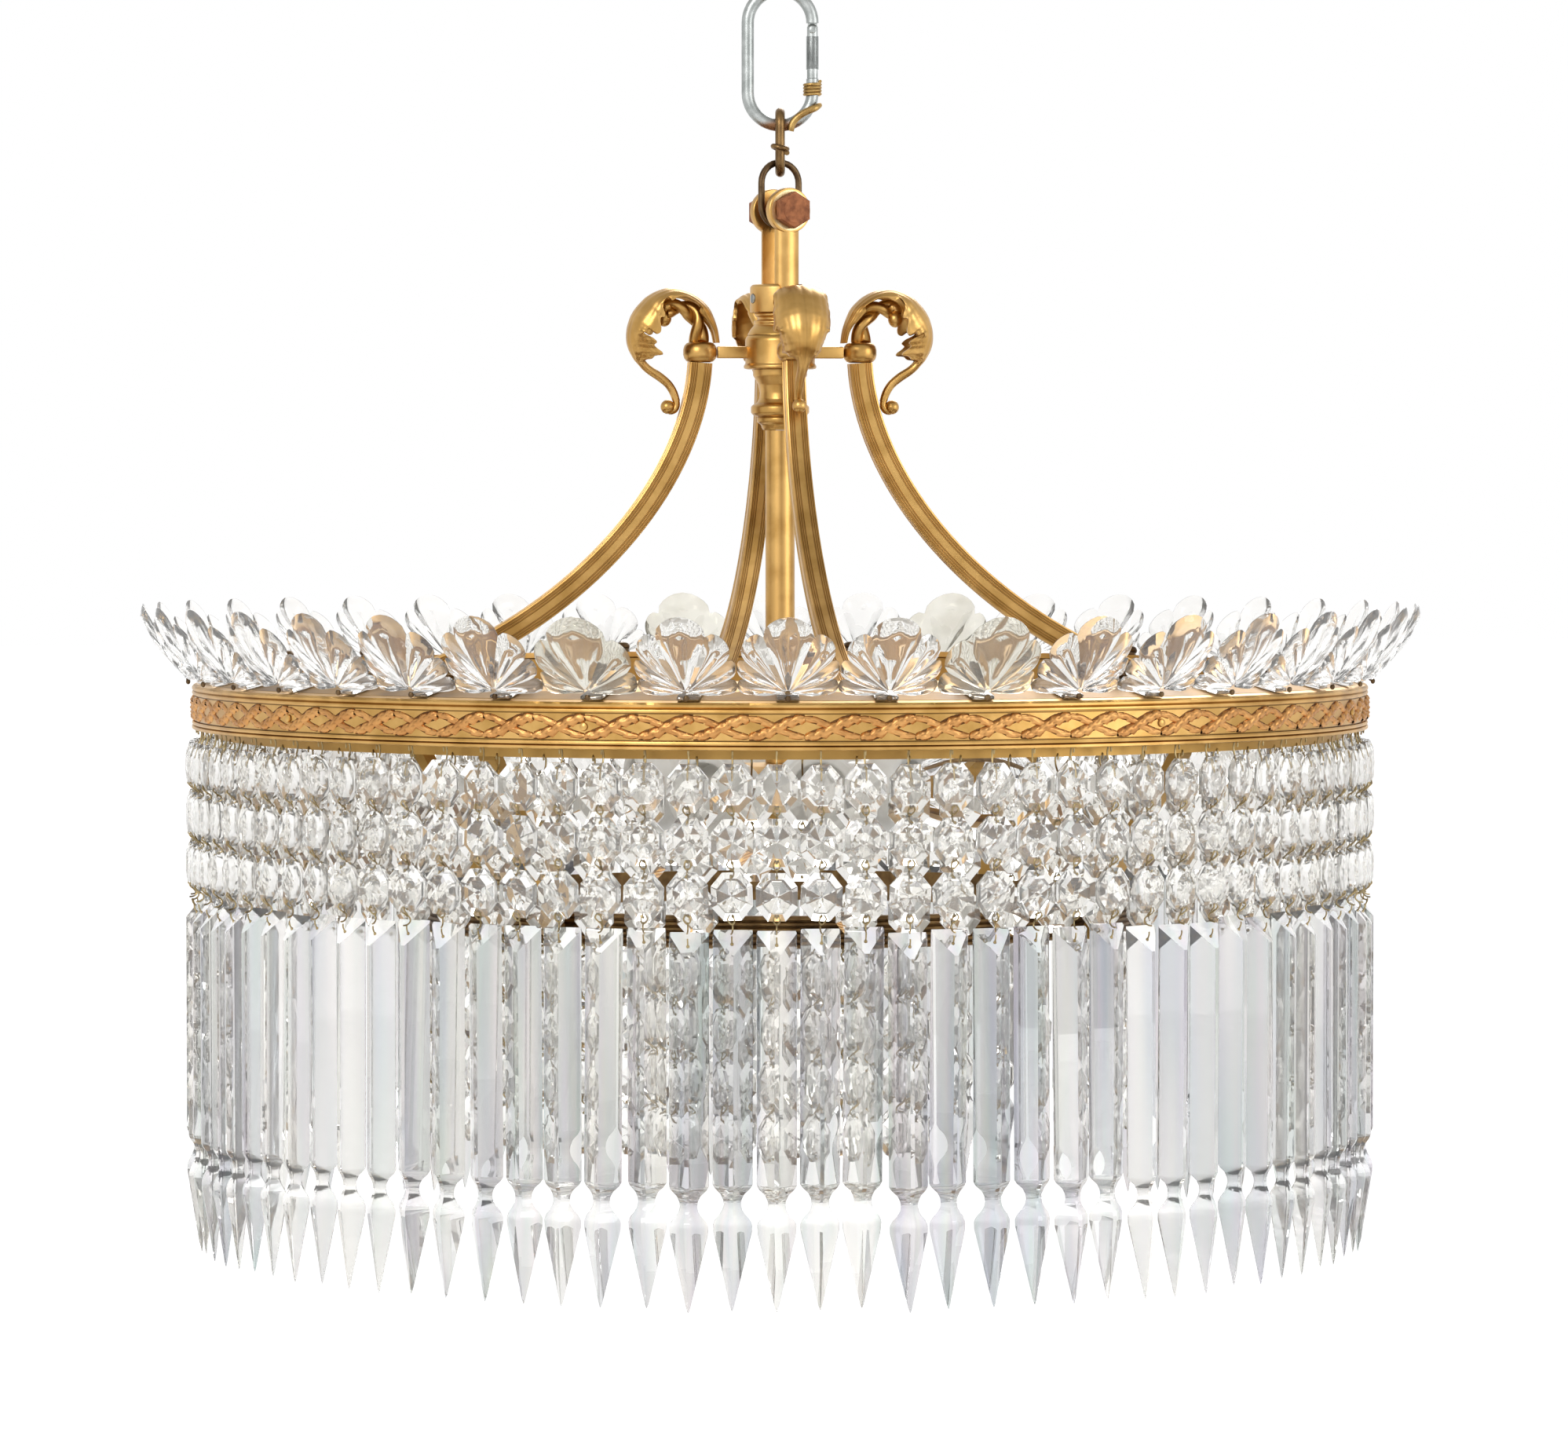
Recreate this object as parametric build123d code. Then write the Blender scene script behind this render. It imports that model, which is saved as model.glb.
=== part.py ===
from build123d import *
import os
from math import cos, pi, radians, sin

# A crystal chandelier: a gilt ring hung by four reeded arms from a turned stem, edged with pressed
# glass shells and hung all round with strands of octagons and spear prisms.
# Millimetres and degrees. +Z is up. The origin is the point where the snap hook bears on the
# ceiling hook, so everything hangs below it. The arms stand on the X and Y axes.

os.makedirs("parts", exist_ok=True)

# ---------------------------------------------------------------- fits
seat_gap = 0.2  # left between pieces that are fastened face to face
wire_play = 0.3  # left between the crystals and the wires that they hang by
loop_play = 0.8  # left between the loops of the chain
running_fit = 0.05  # radial clearance of a pin that turns in its hole

# ---------------------------------------------------------------- flats of the round pieces
ring_flats = 40
lower_ring_flats = 48
stem_flats = 18
small_flats = 12
bolt_flats = 12
wire_flats = 8
bend_steps = 6  # straight spans in each half turn of a chain loop

# ---------------------------------------------------------------- chain
chain_turn = -9.7  # the hook hangs turned a little from the arms
hook_wire = 5.9
hook_width = 36.7
hook_height = 70.0
link_wire = 4.6
link_width = 17.0
link_height = 33.0
loop_wire = 3.2
loop_width = 22.7
loop_height = 33.5

# the sprung gate in the hook's right side
gate_length = 26.0
gate_gap = 0.3  # between the gate's ends and the hook
gate_top_below_bend = 0.4  # from the end of the hook's upper bend down to the gate
tongue_thickness = 2.6
tongue_length = 4.0
tongue_inset = 0.7
rivet_dia = 2.4
rivet_head_dia = 3.8
rivet_head_height = 0.5

# the wire bound round the hook's nose, under the gate
lashing_wire = 1.6
lashing_pitch = 2.1
lashing_turns = 3
lashing_steps = 8  # straight spans in each turn
lashing_drop = 1.4  # from the nose's top to the first turn

# ---------------------------------------------------------------- bolt, eyes and collar
bolt_turn = -74.7  # direction in which the bolt's head points
bolt_dia = 9.5
bolt_hole_clearance = 0.1
hex_across_flats = 15.2
bolt_head_height = 6.3
nut_height = 8.0
bolt_end_length = 2.0  # thread showing past the nut
eye_dia = 21.6
post_gap = 13.4  # between the two posts
post_thickness = 4.6
post_width = 12.0
post_bulge = 1.2
post_length = 35.0  # from the bolt down to the collar
collar_dia = 28.6
collar_height = 13.5
collar_chamfer = 1.2
grub_screw_dia = 4.4
grub_screw_length = 5.0
grub_screw_stand = 0.4
grub_slot_width = 0.8
grub_slot_depth = 0.8

# ---------------------------------------------------------------- turned stem
rim_drop = 225.0  # from the bolt down to the ring's top edge
neck_dia = 24.4
neck_height = 10.8
hub_flange_dia = 39.0
hub_flange_height = 2.2
hub_drum_dia = 30.6
hub_drum_height = 11.6
vase_height = 28.9
vase_dia = 27.8
tube_dia = 14.0
tube_wall = 1.4
tube_below_rim = 38.0  # the tube passes through the ring to the lamp hub

# ---------------------------------------------------------------- ring
ring_dia = 560.0
shoulder_width = 32.0
shoulder_rise = 8.6
sheet = 2.0  # wall of the ring's castings
frieze_recess = 1.6
top_bead_height = 4.6
frieze_height = 12.1
frieze_thickness = 1.2
frieze_edge_gap = 0.4
lower_bead_height = 3.9
floor_drop = 7.0  # from the ring's top edge to its floor
floor_inside_feet = 8.0  # floor left inside the arms' feet
hook_strip_width = 9.8
hook_strip_drop = 28.0

# ---------------------------------------------------------------- arms and scrolls
arm_count = 4
arm_width = 9.6
arm_depth = 10.8
channel_share = 0.4  # half width of the sunk channel, as a share of the arm's half width
channel_depth = 0.9
arm_spans = 9
arm_circle = 38.7  # radius at which the arms stand up to their collars
arm_foot_radius = 190.0
arm_foot_pad = 11.0
arm_sweep_high = (42.0, 92.0)  # radius, and height over the ring, that draw the arm's curve
arm_sweep_low = (102.0, 25.0)
arm_collar_dia = 16.0
arm_collar_height = 9.6
arm_collar_edge = 2.0
lug_height = 5.6
lug_width = 6.0
foot_screw_dia = 5.2
foot_screw_height = 1.8
leaf_width = 24.0
leaf_thickness = 9.0
scroll_ball_dia = 6.8

# ---------------------------------------------------------------- glass shells
shell_count = 40
shell_thickness = 3.4

# ---------------------------------------------------------------- crystal strands
strand_count = 90
strand_inset = 3.0  # from the ring's edge to the hooks
swing_strand_angle = -100.0  # the strand that is hung free to swing
octagon_rows = 3
octagon_width = 18.2
octagon_height = 21.0
octagon_depth = 6.0
octagon_side_share = 0.43  # length of an upright or level side, as a share of the octagon
octagon_pitch = 23.7
first_octagon_drop = 37.0  # from the ring's top edge to the first octagon's middle
wire_dia = 1.4
prism_drop = 99.5  # from the ring's top edge to the prism's top
prism_width = 17.6
prism_depth = 9.0
prism_bar_length = 113.0
prism_top_facet = 11.0
prism_neck_width = 7.5
prism_taper_length = 6.5
spear_width = 17.2
spear_shoulder_length = 8.5
spear_length = 38.7

# ---------------------------------------------------------------- lamps and lower ring
lamp_count = 8
lamp_turn = 5.3  # the lamps stand turned a little from the arms
lamp_drop = 50.0  # from the ring's top edge to the lamps' axes
lamp_hub_dia = 74.0
lamp_hub_height = 22.0
lamp_hub_edge = 4.0
lamp_hub_slope = 12.0  # width of the cone on its top
lamp_hub_boss_dia = 16.0
lamp_hub_boss_height = 6.0
holder_mouth_dia = 40.0
holder_base_dia = 27.0
holder_length = 36.0
holder_step = 5.0
holder_wall = 5.5
holder_depth = 17.0
lamp_dia = 45.0
lamp_length = 82.0
lamp_cap_dia = 26.0
lower_ring_dia = 346.0
lower_ring_height = 15.0
lower_ring_wall = 3.0
lower_ring_drop = 100.0
bracket_width = 9.0
bracket_depth = 6.0
bracket_spans = 5
bracket_inset = 50.0  # from the ring's edge to the brackets' upper ends
bracket_pull_high = 30.0  # downwards from the upper end, draws the bracket's curve
bracket_pull_low = (8.0, 45.0)  # outwards and upwards from the foot
inner_chain_count = 44
inner_chain_rows = 4  # octagons in each chain under the lower ring

# ---------------------------------------------------------------- heights that follow from these
hook_low = -(hook_height - 1.5 * hook_wire)
link_high = hook_low + (hook_wire + link_wire) / 2 + loop_play
link_low = link_high - (link_height - link_wire)
loop_high = link_low + (link_wire + loop_wire) / 2 + loop_play
loop_low = loop_high - (loop_height - loop_wire)
bolt_z = loop_low + (loop_wire + bolt_dia) / 2 + loop_play
rim_z = bolt_z - rim_drop
collar_top = bolt_z - post_length
collar_low = collar_top - collar_height
neck_low = collar_low - neck_height
hub_height = hub_drum_height + 2 * hub_flange_height
hub_middle = neck_low - hub_height / 2
vase_top = neck_low - hub_height
vase_low = vase_top - vase_height
floor_top = rim_z - floor_drop
frieze_top = rim_z - top_bead_height
frieze_low = frieze_top - frieze_height
band_low = frieze_low - lower_bead_height
ring_radius = ring_dia / 2
shoulder_inner = ring_radius - shoulder_width
wall_inner = ring_radius - 2 * sheet
strand_radius = ring_radius - strand_inset
octagon_z = [rim_z - first_octagon_drop - octagon_pitch * row for row in range(octagon_rows)]
prism_top = rim_z - prism_drop
prism_back = prism_depth / 3  # from the strand's line in to the prism's flat back
prism_seat = prism_top - prism_top_facet * (prism_back - wire_dia / 2) / prism_depth
lamp_z = rim_z - lamp_drop
holder_base = lamp_hub_dia / 2 + seat_gap
holder_mouth = holder_base + holder_length
lower_ring_top = rim_z - lower_ring_drop
lower_ring_low = lower_ring_top - lower_ring_height
inner_chain_radius = (lower_ring_dia - lower_ring_wall) / 2
inner_chain_z = [
    lower_ring_low - octagon_pitch * (row + 1) + octagon_height / 2 for row in range(inner_chain_rows)
]


# ---------------------------------------------------------------- ways of making a piece
def save(name, solids):
    """Write one node from its list of solids."""
    export_step(Compound(children=list(solids)), f"parts/{name}.step")


def is_flat(a, b, c, d):
    """Whether four points lie in one plane."""
    return abs((b - a).cross(c - a).dot(d - a)) < 1e-6


def skin(outlines, closed=False):
    """A solid whose flat faces join each outline of points to the next, corner to corner."""
    rings = [[Vector(*point) for point in outline] for outline in outlines]
    faces = [] if closed else [ring for ring in (rings[0], rings[-1]) if len(ring) > 2]
    pairs = list(zip(rings, rings[1:] + rings[:1]))
    for near, far in pairs if closed else pairs[:-1]:
        for i in range(max(len(near), len(far))):
            a, b = near[i % len(near)], near[(i + 1) % len(near)]
            d, c = far[i % len(far)], far[(i + 1) % len(far)]
            if len(near) == 1:
                faces.append([a, c, d])
            elif len(far) == 1:
                faces.append([a, b, c])
            elif is_flat(a, b, c, d):
                faces.append([a, b, c, d])
            else:
                faces += [[a, b, c], [a, c, d]]
    return Solid(Shell([Face(Wire.make_polygon(face)) for face in faces]))


def circle_points(radius, height, flats):
    """Corners of a level polygon about the Z axis."""
    turns = [2 * pi * i / flats for i in range(flats)]
    return [(radius * cos(a), radius * sin(a), height) for a in turns]


def turned(profile, flats):
    """A solid turning from (radius, height) stations, from its lower end up."""
    return skin([circle_points(radius, height, flats) for radius, height in profile])


def hoop(profile, flats):
    """A ring about the Z axis whose cross-section has these (radius, height) corners."""
    turns = [2 * pi * i / flats for i in range(flats)]
    return skin([[(r * cos(a), r * sin(a), z) for r, z in profile] for a in turns], closed=True)


def around(solid, count, start=0.0, skip=()):
    """Equal copies of a solid round the Z axis, without the numbers in skip."""
    step = 360 / count
    return [solid.rotate(Axis.Z, start + step * i) for i in range(count) if i not in skip]


def oval_points(width, depth, sides):
    """Corners of a flat-sided oval whose flats lie on its width and depth."""
    corner = cos(pi / sides)
    turns = [2 * pi * (i + 0.5) / sides for i in range(sides)]
    return [(width / 2 / corner * cos(a), depth / 2 / corner * sin(a)) for a in turns]


def section(radius, height, run, rise, points):
    """An outline set across a bar that lies in the XZ plane and runs towards (run, rise)."""
    plane = Plane(origin=(radius, 0, height), x_dir=(0, 1, 0), z_dir=(run, 0, rise))
    return [tuple(plane.from_local_coords((x, y, 0))) for x, y in points]


def curve_point(ends, pulls, t):
    """Point of the cubic curve from ends[0] to ends[1] drawn by the two pulls."""
    weights = ((1 - t) ** 3, 3 * t * (1 - t) ** 2, 3 * t * t * (1 - t), t**3)
    points = (ends[0], pulls[0], pulls[1], ends[1])
    return tuple(sum(w * p[axis] for w, p in zip(weights, points)) for axis in (0, 1))


def curve_slope(ends, pulls, t):
    """Direction of the same curve."""
    ahead = curve_point(ends, pulls, min(t + 0.01, 1))
    behind = curve_point(ends, pulls, max(t - 0.01, 0))
    return ahead[0] - behind[0], ahead[1] - behind[1]


def curved_bar(ends, pulls, spans, outline):
    """Sections of a bar along the curve, without the two at its ends."""
    shares = [i / spans for i in range(1, spans)]
    return [
        section(*curve_point(ends, pulls, t), *curve_slope(ends, pulls, t), outline) for t in shares
    ]


def bend(radius, middle_z, first, last, wire):
    """Sections of a round bend of wire in the XZ plane, from one angle to another, in degrees."""
    way = 1 if last > first else -1
    outline = oval_points(wire, wire, wire_flats)
    rings = []
    for i in range(bend_steps + 1):
        angle = radians(first + (last - first) * i / bend_steps)
        across, up = radius * cos(angle), middle_z + radius * sin(angle)
        rings.append(section(across, up, -way * sin(angle), way * cos(angle), outline))
    return rings


def oval_loop(width, height, wire, top_wire_z):
    """A closed loop of wire with straight sides, its top wire's middle at top_wire_z."""
    radius = (width - wire) / 2
    upper = top_wire_z - radius
    lower = upper - (height - width)
    return skin(
        bend(radius, upper, 0, 180, wire) + bend(radius, lower, 180, 360, wire), closed=True
    )


def turn_chain(solid, extra=0.0):
    """Turn a piece of the chain to its place about the vertical."""
    return solid.rotate(Axis.Z, chain_turn + extra)


def turn_bolt(solid):
    """Turn a piece that was made with the bolt along X and its head at +X."""
    return solid.rotate(Axis.Z, bolt_turn)


def level_bar(stations, height, flats):
    """A flat-sided bar along X from (distance, dia) stations."""
    return skin(
        [section(distance, height, 1, 0, oval_points(dia, dia, flats)) for distance, dia in stations]
    )


def rod_along_y(dia, near, far, height, across):
    """A round rod along Y."""
    plane = Plane(origin=(across, near, height), x_dir=(1, 0, 0), z_dir=(0, 1, 0))
    return Solid.make_cylinder(dia / 2, far - near, plane)


def slab(low, high):
    """A box from its low corner to its high corner."""
    size = [high[i] - low[i] for i in range(3)]
    return Solid.make_box(*size, Plane(origin=low))


# ---------------------------------------------------------------- snap hook, link and ring
hook_bend = (hook_width - hook_wire) / 2
hook_lower_bend = hook_low + hook_bend
hook_upper_bend = hook_lower_bend + hook_height - hook_width
gate_top = hook_upper_bend - gate_top_below_bend
gate_low = gate_top - gate_length
gate_rivet_z = gate_top - hook_wire / 2
nose_top = gate_low - gate_gap


def snap_hook_body():
    """The hook's bent wire, with a flat tongue at each end that the gate closes over."""
    outline = oval_points(hook_wire, hook_wire, wire_flats)
    nose = section(hook_bend, nose_top, 0, -1, outline)
    heel = section(hook_bend, gate_top + gate_gap, 0, -1, outline)
    lower = bend(hook_bend, hook_lower_bend, 0, -180, hook_wire)
    upper = bend(hook_bend, hook_upper_bend, 180, 0, hook_wire)
    body = skin([nose, *lower, *upper, heel])
    half, reach = tongue_thickness / 2, hook_wire / 2 - tongue_inset
    near, far = hook_bend - reach, hook_bend + reach
    upper_tongue = slab((near, -half, gate_rivet_z), (far, half, gate_top + 2 * gate_gap))
    tongue_end = rod_along_y(2 * reach, -half, half, gate_rivet_z, hook_bend)
    lower_tongue = slab(
        (near, -half, nose_top - gate_gap), (far, half, gate_low + tongue_length - gate_gap)
    )
    hole = rod_along_y(
        rivet_dia + 2 * running_fit, -hook_wire, hook_wire, gate_rivet_z, hook_bend
    )
    body = body.fuse(upper_tongue, tongue_end, lower_tongue).cut(hole).solid()
    return turn_chain(body)


def snap_hook_gate():
    """The bar that closes the hook, forked over the tongue at each end."""
    outline = oval_points(hook_wire, hook_wire, wire_flats)
    ends = [section(hook_bend, height, 0, 1, outline) for height in (gate_low, gate_top)]
    reach, slot = hook_wire, tongue_thickness / 2 + gate_gap / 2
    near, far = hook_bend - reach, hook_bend + reach
    corner = oval_points(hook_wire, hook_wire, wire_flats)
    head = skin(
        [[(hook_bend + x, y, gate_rivet_z + z) for x, z in corner] for y in (-reach, reach)]
    )
    envelope = slab((near, -reach, gate_low), (far, reach, gate_rivet_z)).fuse(head).solid()
    head_slot = slab(
        (near, -slot, gate_rivet_z - hook_wire / 2), (far, slot, gate_top + reach)
    )
    nose_slot = slab((near, -slot, gate_low - reach), (far, slot, gate_low + tongue_length))
    hole = rod_along_y(rivet_dia, -reach, reach, gate_rivet_z, hook_bend)
    gate = skin(ends).intersect(envelope).solid()
    return turn_chain(gate.cut(head_slot, nose_slot, hole).solid())


def gate_rivet():
    """The gate's hinge pin, tight in the gate and free in the hook's tongue."""
    half = hook_wire / 2
    shank = rod_along_y(rivet_dia, -half, half, gate_rivet_z, hook_bend)
    outline = oval_points(rivet_head_dia, rivet_head_dia, wire_flats)
    for face, way in ((-half, -1), (half, 1)):
        plane = Plane(
            origin=(hook_bend, face, gate_rivet_z), x_dir=(1, 0, 0), z_dir=(0, way, 0)
        )
        ends = [
            [tuple(plane.from_local_coords((x, y, depth))) for x, y in outline]
            for depth in (0, rivet_head_height)
        ]
        shank = shank.fuse(skin(ends)).solid()
    return turn_chain(shank)


def nose_lashing():
    """Wire wound round the hook's nose."""
    half = lashing_wire / 2
    corner = hook_wire / 2 / cos(pi / wire_flats)
    radius = corner + half + seat_gap
    rings = []
    for step in range(lashing_turns * lashing_steps + 1):
        turn = 2 * pi * (step + 0.5) / lashing_steps
        height = nose_top - lashing_drop - lashing_pitch * step / lashing_steps
        corners = [(radius - half, 0), (radius, half), (radius + half, 0), (radius, -half)]
        rings.append(
            [(hook_bend + r * cos(turn), r * sin(turn), height + rise) for r, rise in corners]
        )
    return turn_chain(skin(rings))


def chain_link():
    return turn_chain(oval_loop(link_width, link_height, link_wire, link_high), 90)


def oval_ring():
    loop = oval_loop(loop_width, loop_height, loop_wire, loop_high)
    return turn_bolt(loop.rotate(Axis.Z, 90))


# ---------------------------------------------------------------- bolt, eyed posts and collar
post_inner = post_gap / 2
post_outer = post_inner + post_thickness


def eyed_post():
    """The post on the head's side: a bar with a crowned face that ends in a flat eye."""
    half, low = post_width / 2, collar_low + seat_gap
    right = [(post_outer, half / 3), (post_outer - post_bulge, half), (post_inner, half)]
    outline = right + [(x, -y) for x, y in reversed(right)]
    bar = skin([[(x, y, height) for x, y in outline] for height in (low, bolt_z)])
    eye = level_bar([(post_inner, eye_dia), (post_outer, eye_dia)], bolt_z, stem_flats)
    bore = bolt_dia + 2 * bolt_hole_clearance
    hole = level_bar([(0, bore), (eye_dia, bore)], bolt_z, bolt_flats)
    return bar.fuse(eye).cut(hole).solid()


def suspension_collar():
    """The collar that the two posts stand in, each in a notch of its own."""
    radius, middle = collar_dia / 2, (collar_top + collar_low) / 2
    profile = [
        (radius, collar_low + seat_gap),
        (radius, collar_top - collar_chamfer),
        (radius - collar_chamfer, collar_top),
    ]
    half, near = post_width / 2 + seat_gap, post_inner - seat_gap
    notch = slab((near, -half, collar_low), (radius, half, collar_top))
    bore = grub_screw_dia + 2 * seat_gap
    hole = level_bar([(radius - grub_screw_length, bore), (radius, bore)], middle, wire_flats)
    hole = hole.rotate(Axis.Z, 90)
    body = turned(profile, stem_flats)
    return turn_bolt(body.cut(notch, notch.mirror(Plane.YZ), hole, hole.mirror(Plane.XZ)).solid())


def collar_grub_screws():
    """The two slotted screws at the collar's sides."""
    radius, middle = collar_dia / 2, (collar_top + collar_low) / 2
    near, far = radius - grub_screw_length + seat_gap, radius + grub_screw_stand
    screw = level_bar([(near, grub_screw_dia), (far, grub_screw_dia)], middle, wire_flats)
    half, reach = grub_slot_width / 2, grub_screw_dia
    slot = slab((far - grub_slot_depth, -half, middle - reach), (far + 1, half, middle + reach))
    screw = screw.cut(slot).solid().rotate(Axis.Z, 90)
    return [turn_bolt(screw), turn_bolt(screw.mirror(Plane.XZ))]


def suspension_bolt():
    head_face = post_outer + seat_gap
    tail = -head_face - nut_height - bolt_end_length
    head = level_bar(
        [(head_face, hex_across_flats), (head_face + bolt_head_height, hex_across_flats)], bolt_z, 6
    )
    shank = level_bar([(tail, bolt_dia), (head_face, bolt_dia)], bolt_z, bolt_flats)
    return turn_bolt(head.fuse(shank).solid())


def bolt_nut():
    near = -post_outer - seat_gap
    nut = level_bar(
        [(near - nut_height, hex_across_flats), (near, hex_across_flats)], bolt_z, 6
    )
    bore = bolt_dia + 2 * running_fit
    hole = level_bar([(near - eye_dia, bore), (0, bore)], bolt_z, bolt_flats)
    return turn_bolt(nut.cut(hole).solid())


# ---------------------------------------------------------------- turned stem
def neck_turning():
    """Two beads and a sweep that widens on to the hub."""
    radius = neck_dia / 2
    shares = [(1.46, 0.0), (1.0, 0.42), (1.04, 0.6), (0.87, 0.74), (1.0, 1.0)]
    low = neck_low + seat_gap
    height = neck_height - seat_gap
    profile = [(radius * wide, low + height * rise) for wide, rise in shares]
    return turned(profile, stem_flats)


def arm_hub():
    """A flanged drum with a lug out to the collar of each arm."""
    wide, narrow = hub_flange_dia / 2, hub_drum_dia / 2
    upper, lower = neck_low - hub_flange_height, vase_top + hub_flange_height
    profile = [(wide, vase_top), (wide, lower), (narrow, lower)]
    profile += [(narrow, upper), (wide, upper), (wide, neck_low)]
    reach = arm_circle - arm_collar_dia / 2 - seat_gap
    half_width, half_height = lug_width / 2, lug_height / 2
    lug = slab(
        (narrow / 2, -half_width, hub_middle - half_height),
        (reach, half_width, hub_middle + half_height),
    )
    return turned(profile, stem_flats).fuse(*around(lug, arm_count)).solid()


def stem_vase():
    """A cup, a bead and a hollowed neck, turned in one piece."""
    radius = vase_dia / 2
    shares = [(0.58, 0.0), (0.8, 0.14), (0.8, 0.2), (1.0, 0.27), (1.0, 0.4)]
    shares += [(0.75, 0.48), (0.7, 0.62), (0.93, 0.9), (0.93, 1.0)]
    height = vase_height - seat_gap
    return turned([(radius * wide, vase_low + height * rise) for wide, rise in shares], stem_flats)


def centre_tube():
    low, high = rim_z - tube_below_rim, vase_low - seat_gap
    outer = tube_dia / 2
    inner = outer - tube_wall
    return hoop([(inner, low), (outer, low), (outer, high), (inner, high)], stem_flats)


# ---------------------------------------------------------------- ring
def shoulder_top(radius):
    """Height of the shoulder's upper face."""
    return rim_z + shoulder_rise * (ring_radius - radius) / shoulder_width


def shoulder_under(radius):
    """Height of the shoulder's lower face."""
    slope = shoulder_rise / (wall_inner - shoulder_inner)
    return rim_z - sheet + slope * (wall_inner - radius)


def rim_casting():
    """The outer wall, with a moulding above and below the frieze, and the sloping shoulder."""
    outer = ring_radius
    recess = outer - frieze_recess
    profile = [(shoulder_inner, shoulder_top(shoulder_inner)), (outer, rim_z)]
    profile += [(outer, frieze_top), (recess, frieze_top), (recess, frieze_low)]
    profile += [(outer, frieze_low), (outer, band_low), (wall_inner, band_low)]
    profile += [(wall_inner, rim_z - sheet), (shoulder_inner, shoulder_under(shoulder_inner))]
    return hoop(profile[::-1], ring_flats)


def frieze_band():
    low, high = frieze_low + frieze_edge_gap, frieze_top - frieze_edge_gap
    inner = ring_radius - frieze_recess + seat_gap
    outer = inner + frieze_thickness
    return hoop([(inner, low), (outer, low), (outer, high), (inner, high)], ring_flats)


def ring_floor():
    """The upright wall under the shoulder's inner edge and the floor that the arms stand on."""
    outer = shoulder_inner + sheet
    high = shoulder_under(outer) - seat_gap
    low = floor_top - sheet
    inner = arm_foot_radius - floor_inside_feet
    profile = [(inner, low), (outer, low), (outer, high), (shoulder_inner, high)]
    profile += [(shoulder_inner, floor_top), (inner, floor_top)]
    return hoop(profile, ring_flats)


def hook_strip():
    """The angle inside the ring's lower edge, with a second row of hooks under it."""
    outer = wall_inner - seat_gap
    inner = outer - hook_strip_width
    low, high = rim_z - hook_strip_drop, band_low + sheet
    profile = [(inner, low), (inner + sheet, low), (inner + sheet, band_low)]
    profile += [(outer, band_low), (outer, high), (inner, high)]
    return hoop(profile, ring_flats)


# ---------------------------------------------------------------- arms
def channelled_points(width, depth):
    """Outline of a bar that has a sunk channel down each of its four sides."""
    half_x, half_y = width / 2, depth / 2
    across, along = channel_share * half_x, channel_share * half_y
    sunk_x, sunk_y = half_x - channel_depth, half_y - channel_depth
    corner = [(-half_x, -half_y), (-across, -sunk_y), (across, -sunk_y)]
    corner += [(half_x, -half_y), (sunk_x, -along), (sunk_x, along)]
    return corner + [(-x, -y) for x, y in corner]


def arm():
    """A channelled arm that sweeps down from its collar and out to its foot on the floor."""
    outline = channelled_points(arm_width, arm_depth)
    top = (arm_circle, hub_middle - arm_collar_height / 2 - seat_gap)
    foot = (arm_foot_radius, floor_top + arm_depth / 2 + seat_gap)
    pulls = [(radius, rim_z + height) for radius, height in (arm_sweep_high, arm_sweep_low)]
    rings = [section(*top, 0, -1, outline), *curved_bar((top, foot), pulls, arm_spans, outline)]
    rings += [section(foot[0] + pad, foot[1], 1, 0, outline) for pad in (0, arm_foot_pad)]
    return skin(rings)


def arm_collar():
    """A bead round the place where arm, scroll and lug meet."""
    half, radius = arm_collar_height / 2, arm_collar_dia / 2
    edge = radius - arm_collar_edge
    profile = [(edge, -half), (radius, -half / 3), (radius, half / 3), (edge, half)]
    return turned(profile, small_flats).moved(Location((arm_circle, 0, hub_middle)))


def arm_foot_screw():
    low = floor_top + arm_depth + 2 * seat_gap
    screw = turned(
        [(foot_screw_dia / 2, low), (foot_screw_dia / 2, low + foot_screw_height)], wire_flats
    )
    return screw.moved(Location((arm_foot_radius + arm_foot_pad / 2, 0, 0)))


def leaf_points(width, depth):
    """Outline across a leaf: a rib outside, hollow flanks, turned edges and a rounded back."""
    shares = [(0, 0.5), (0.26, 0.2), (0.5, 0.34), (0.4, -0.3), (0, -0.5)]
    right = [(x * width, y * depth) for x, y in shares]
    return right + [(-x, y) for x, y in right[-2:0:-1]]


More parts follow.
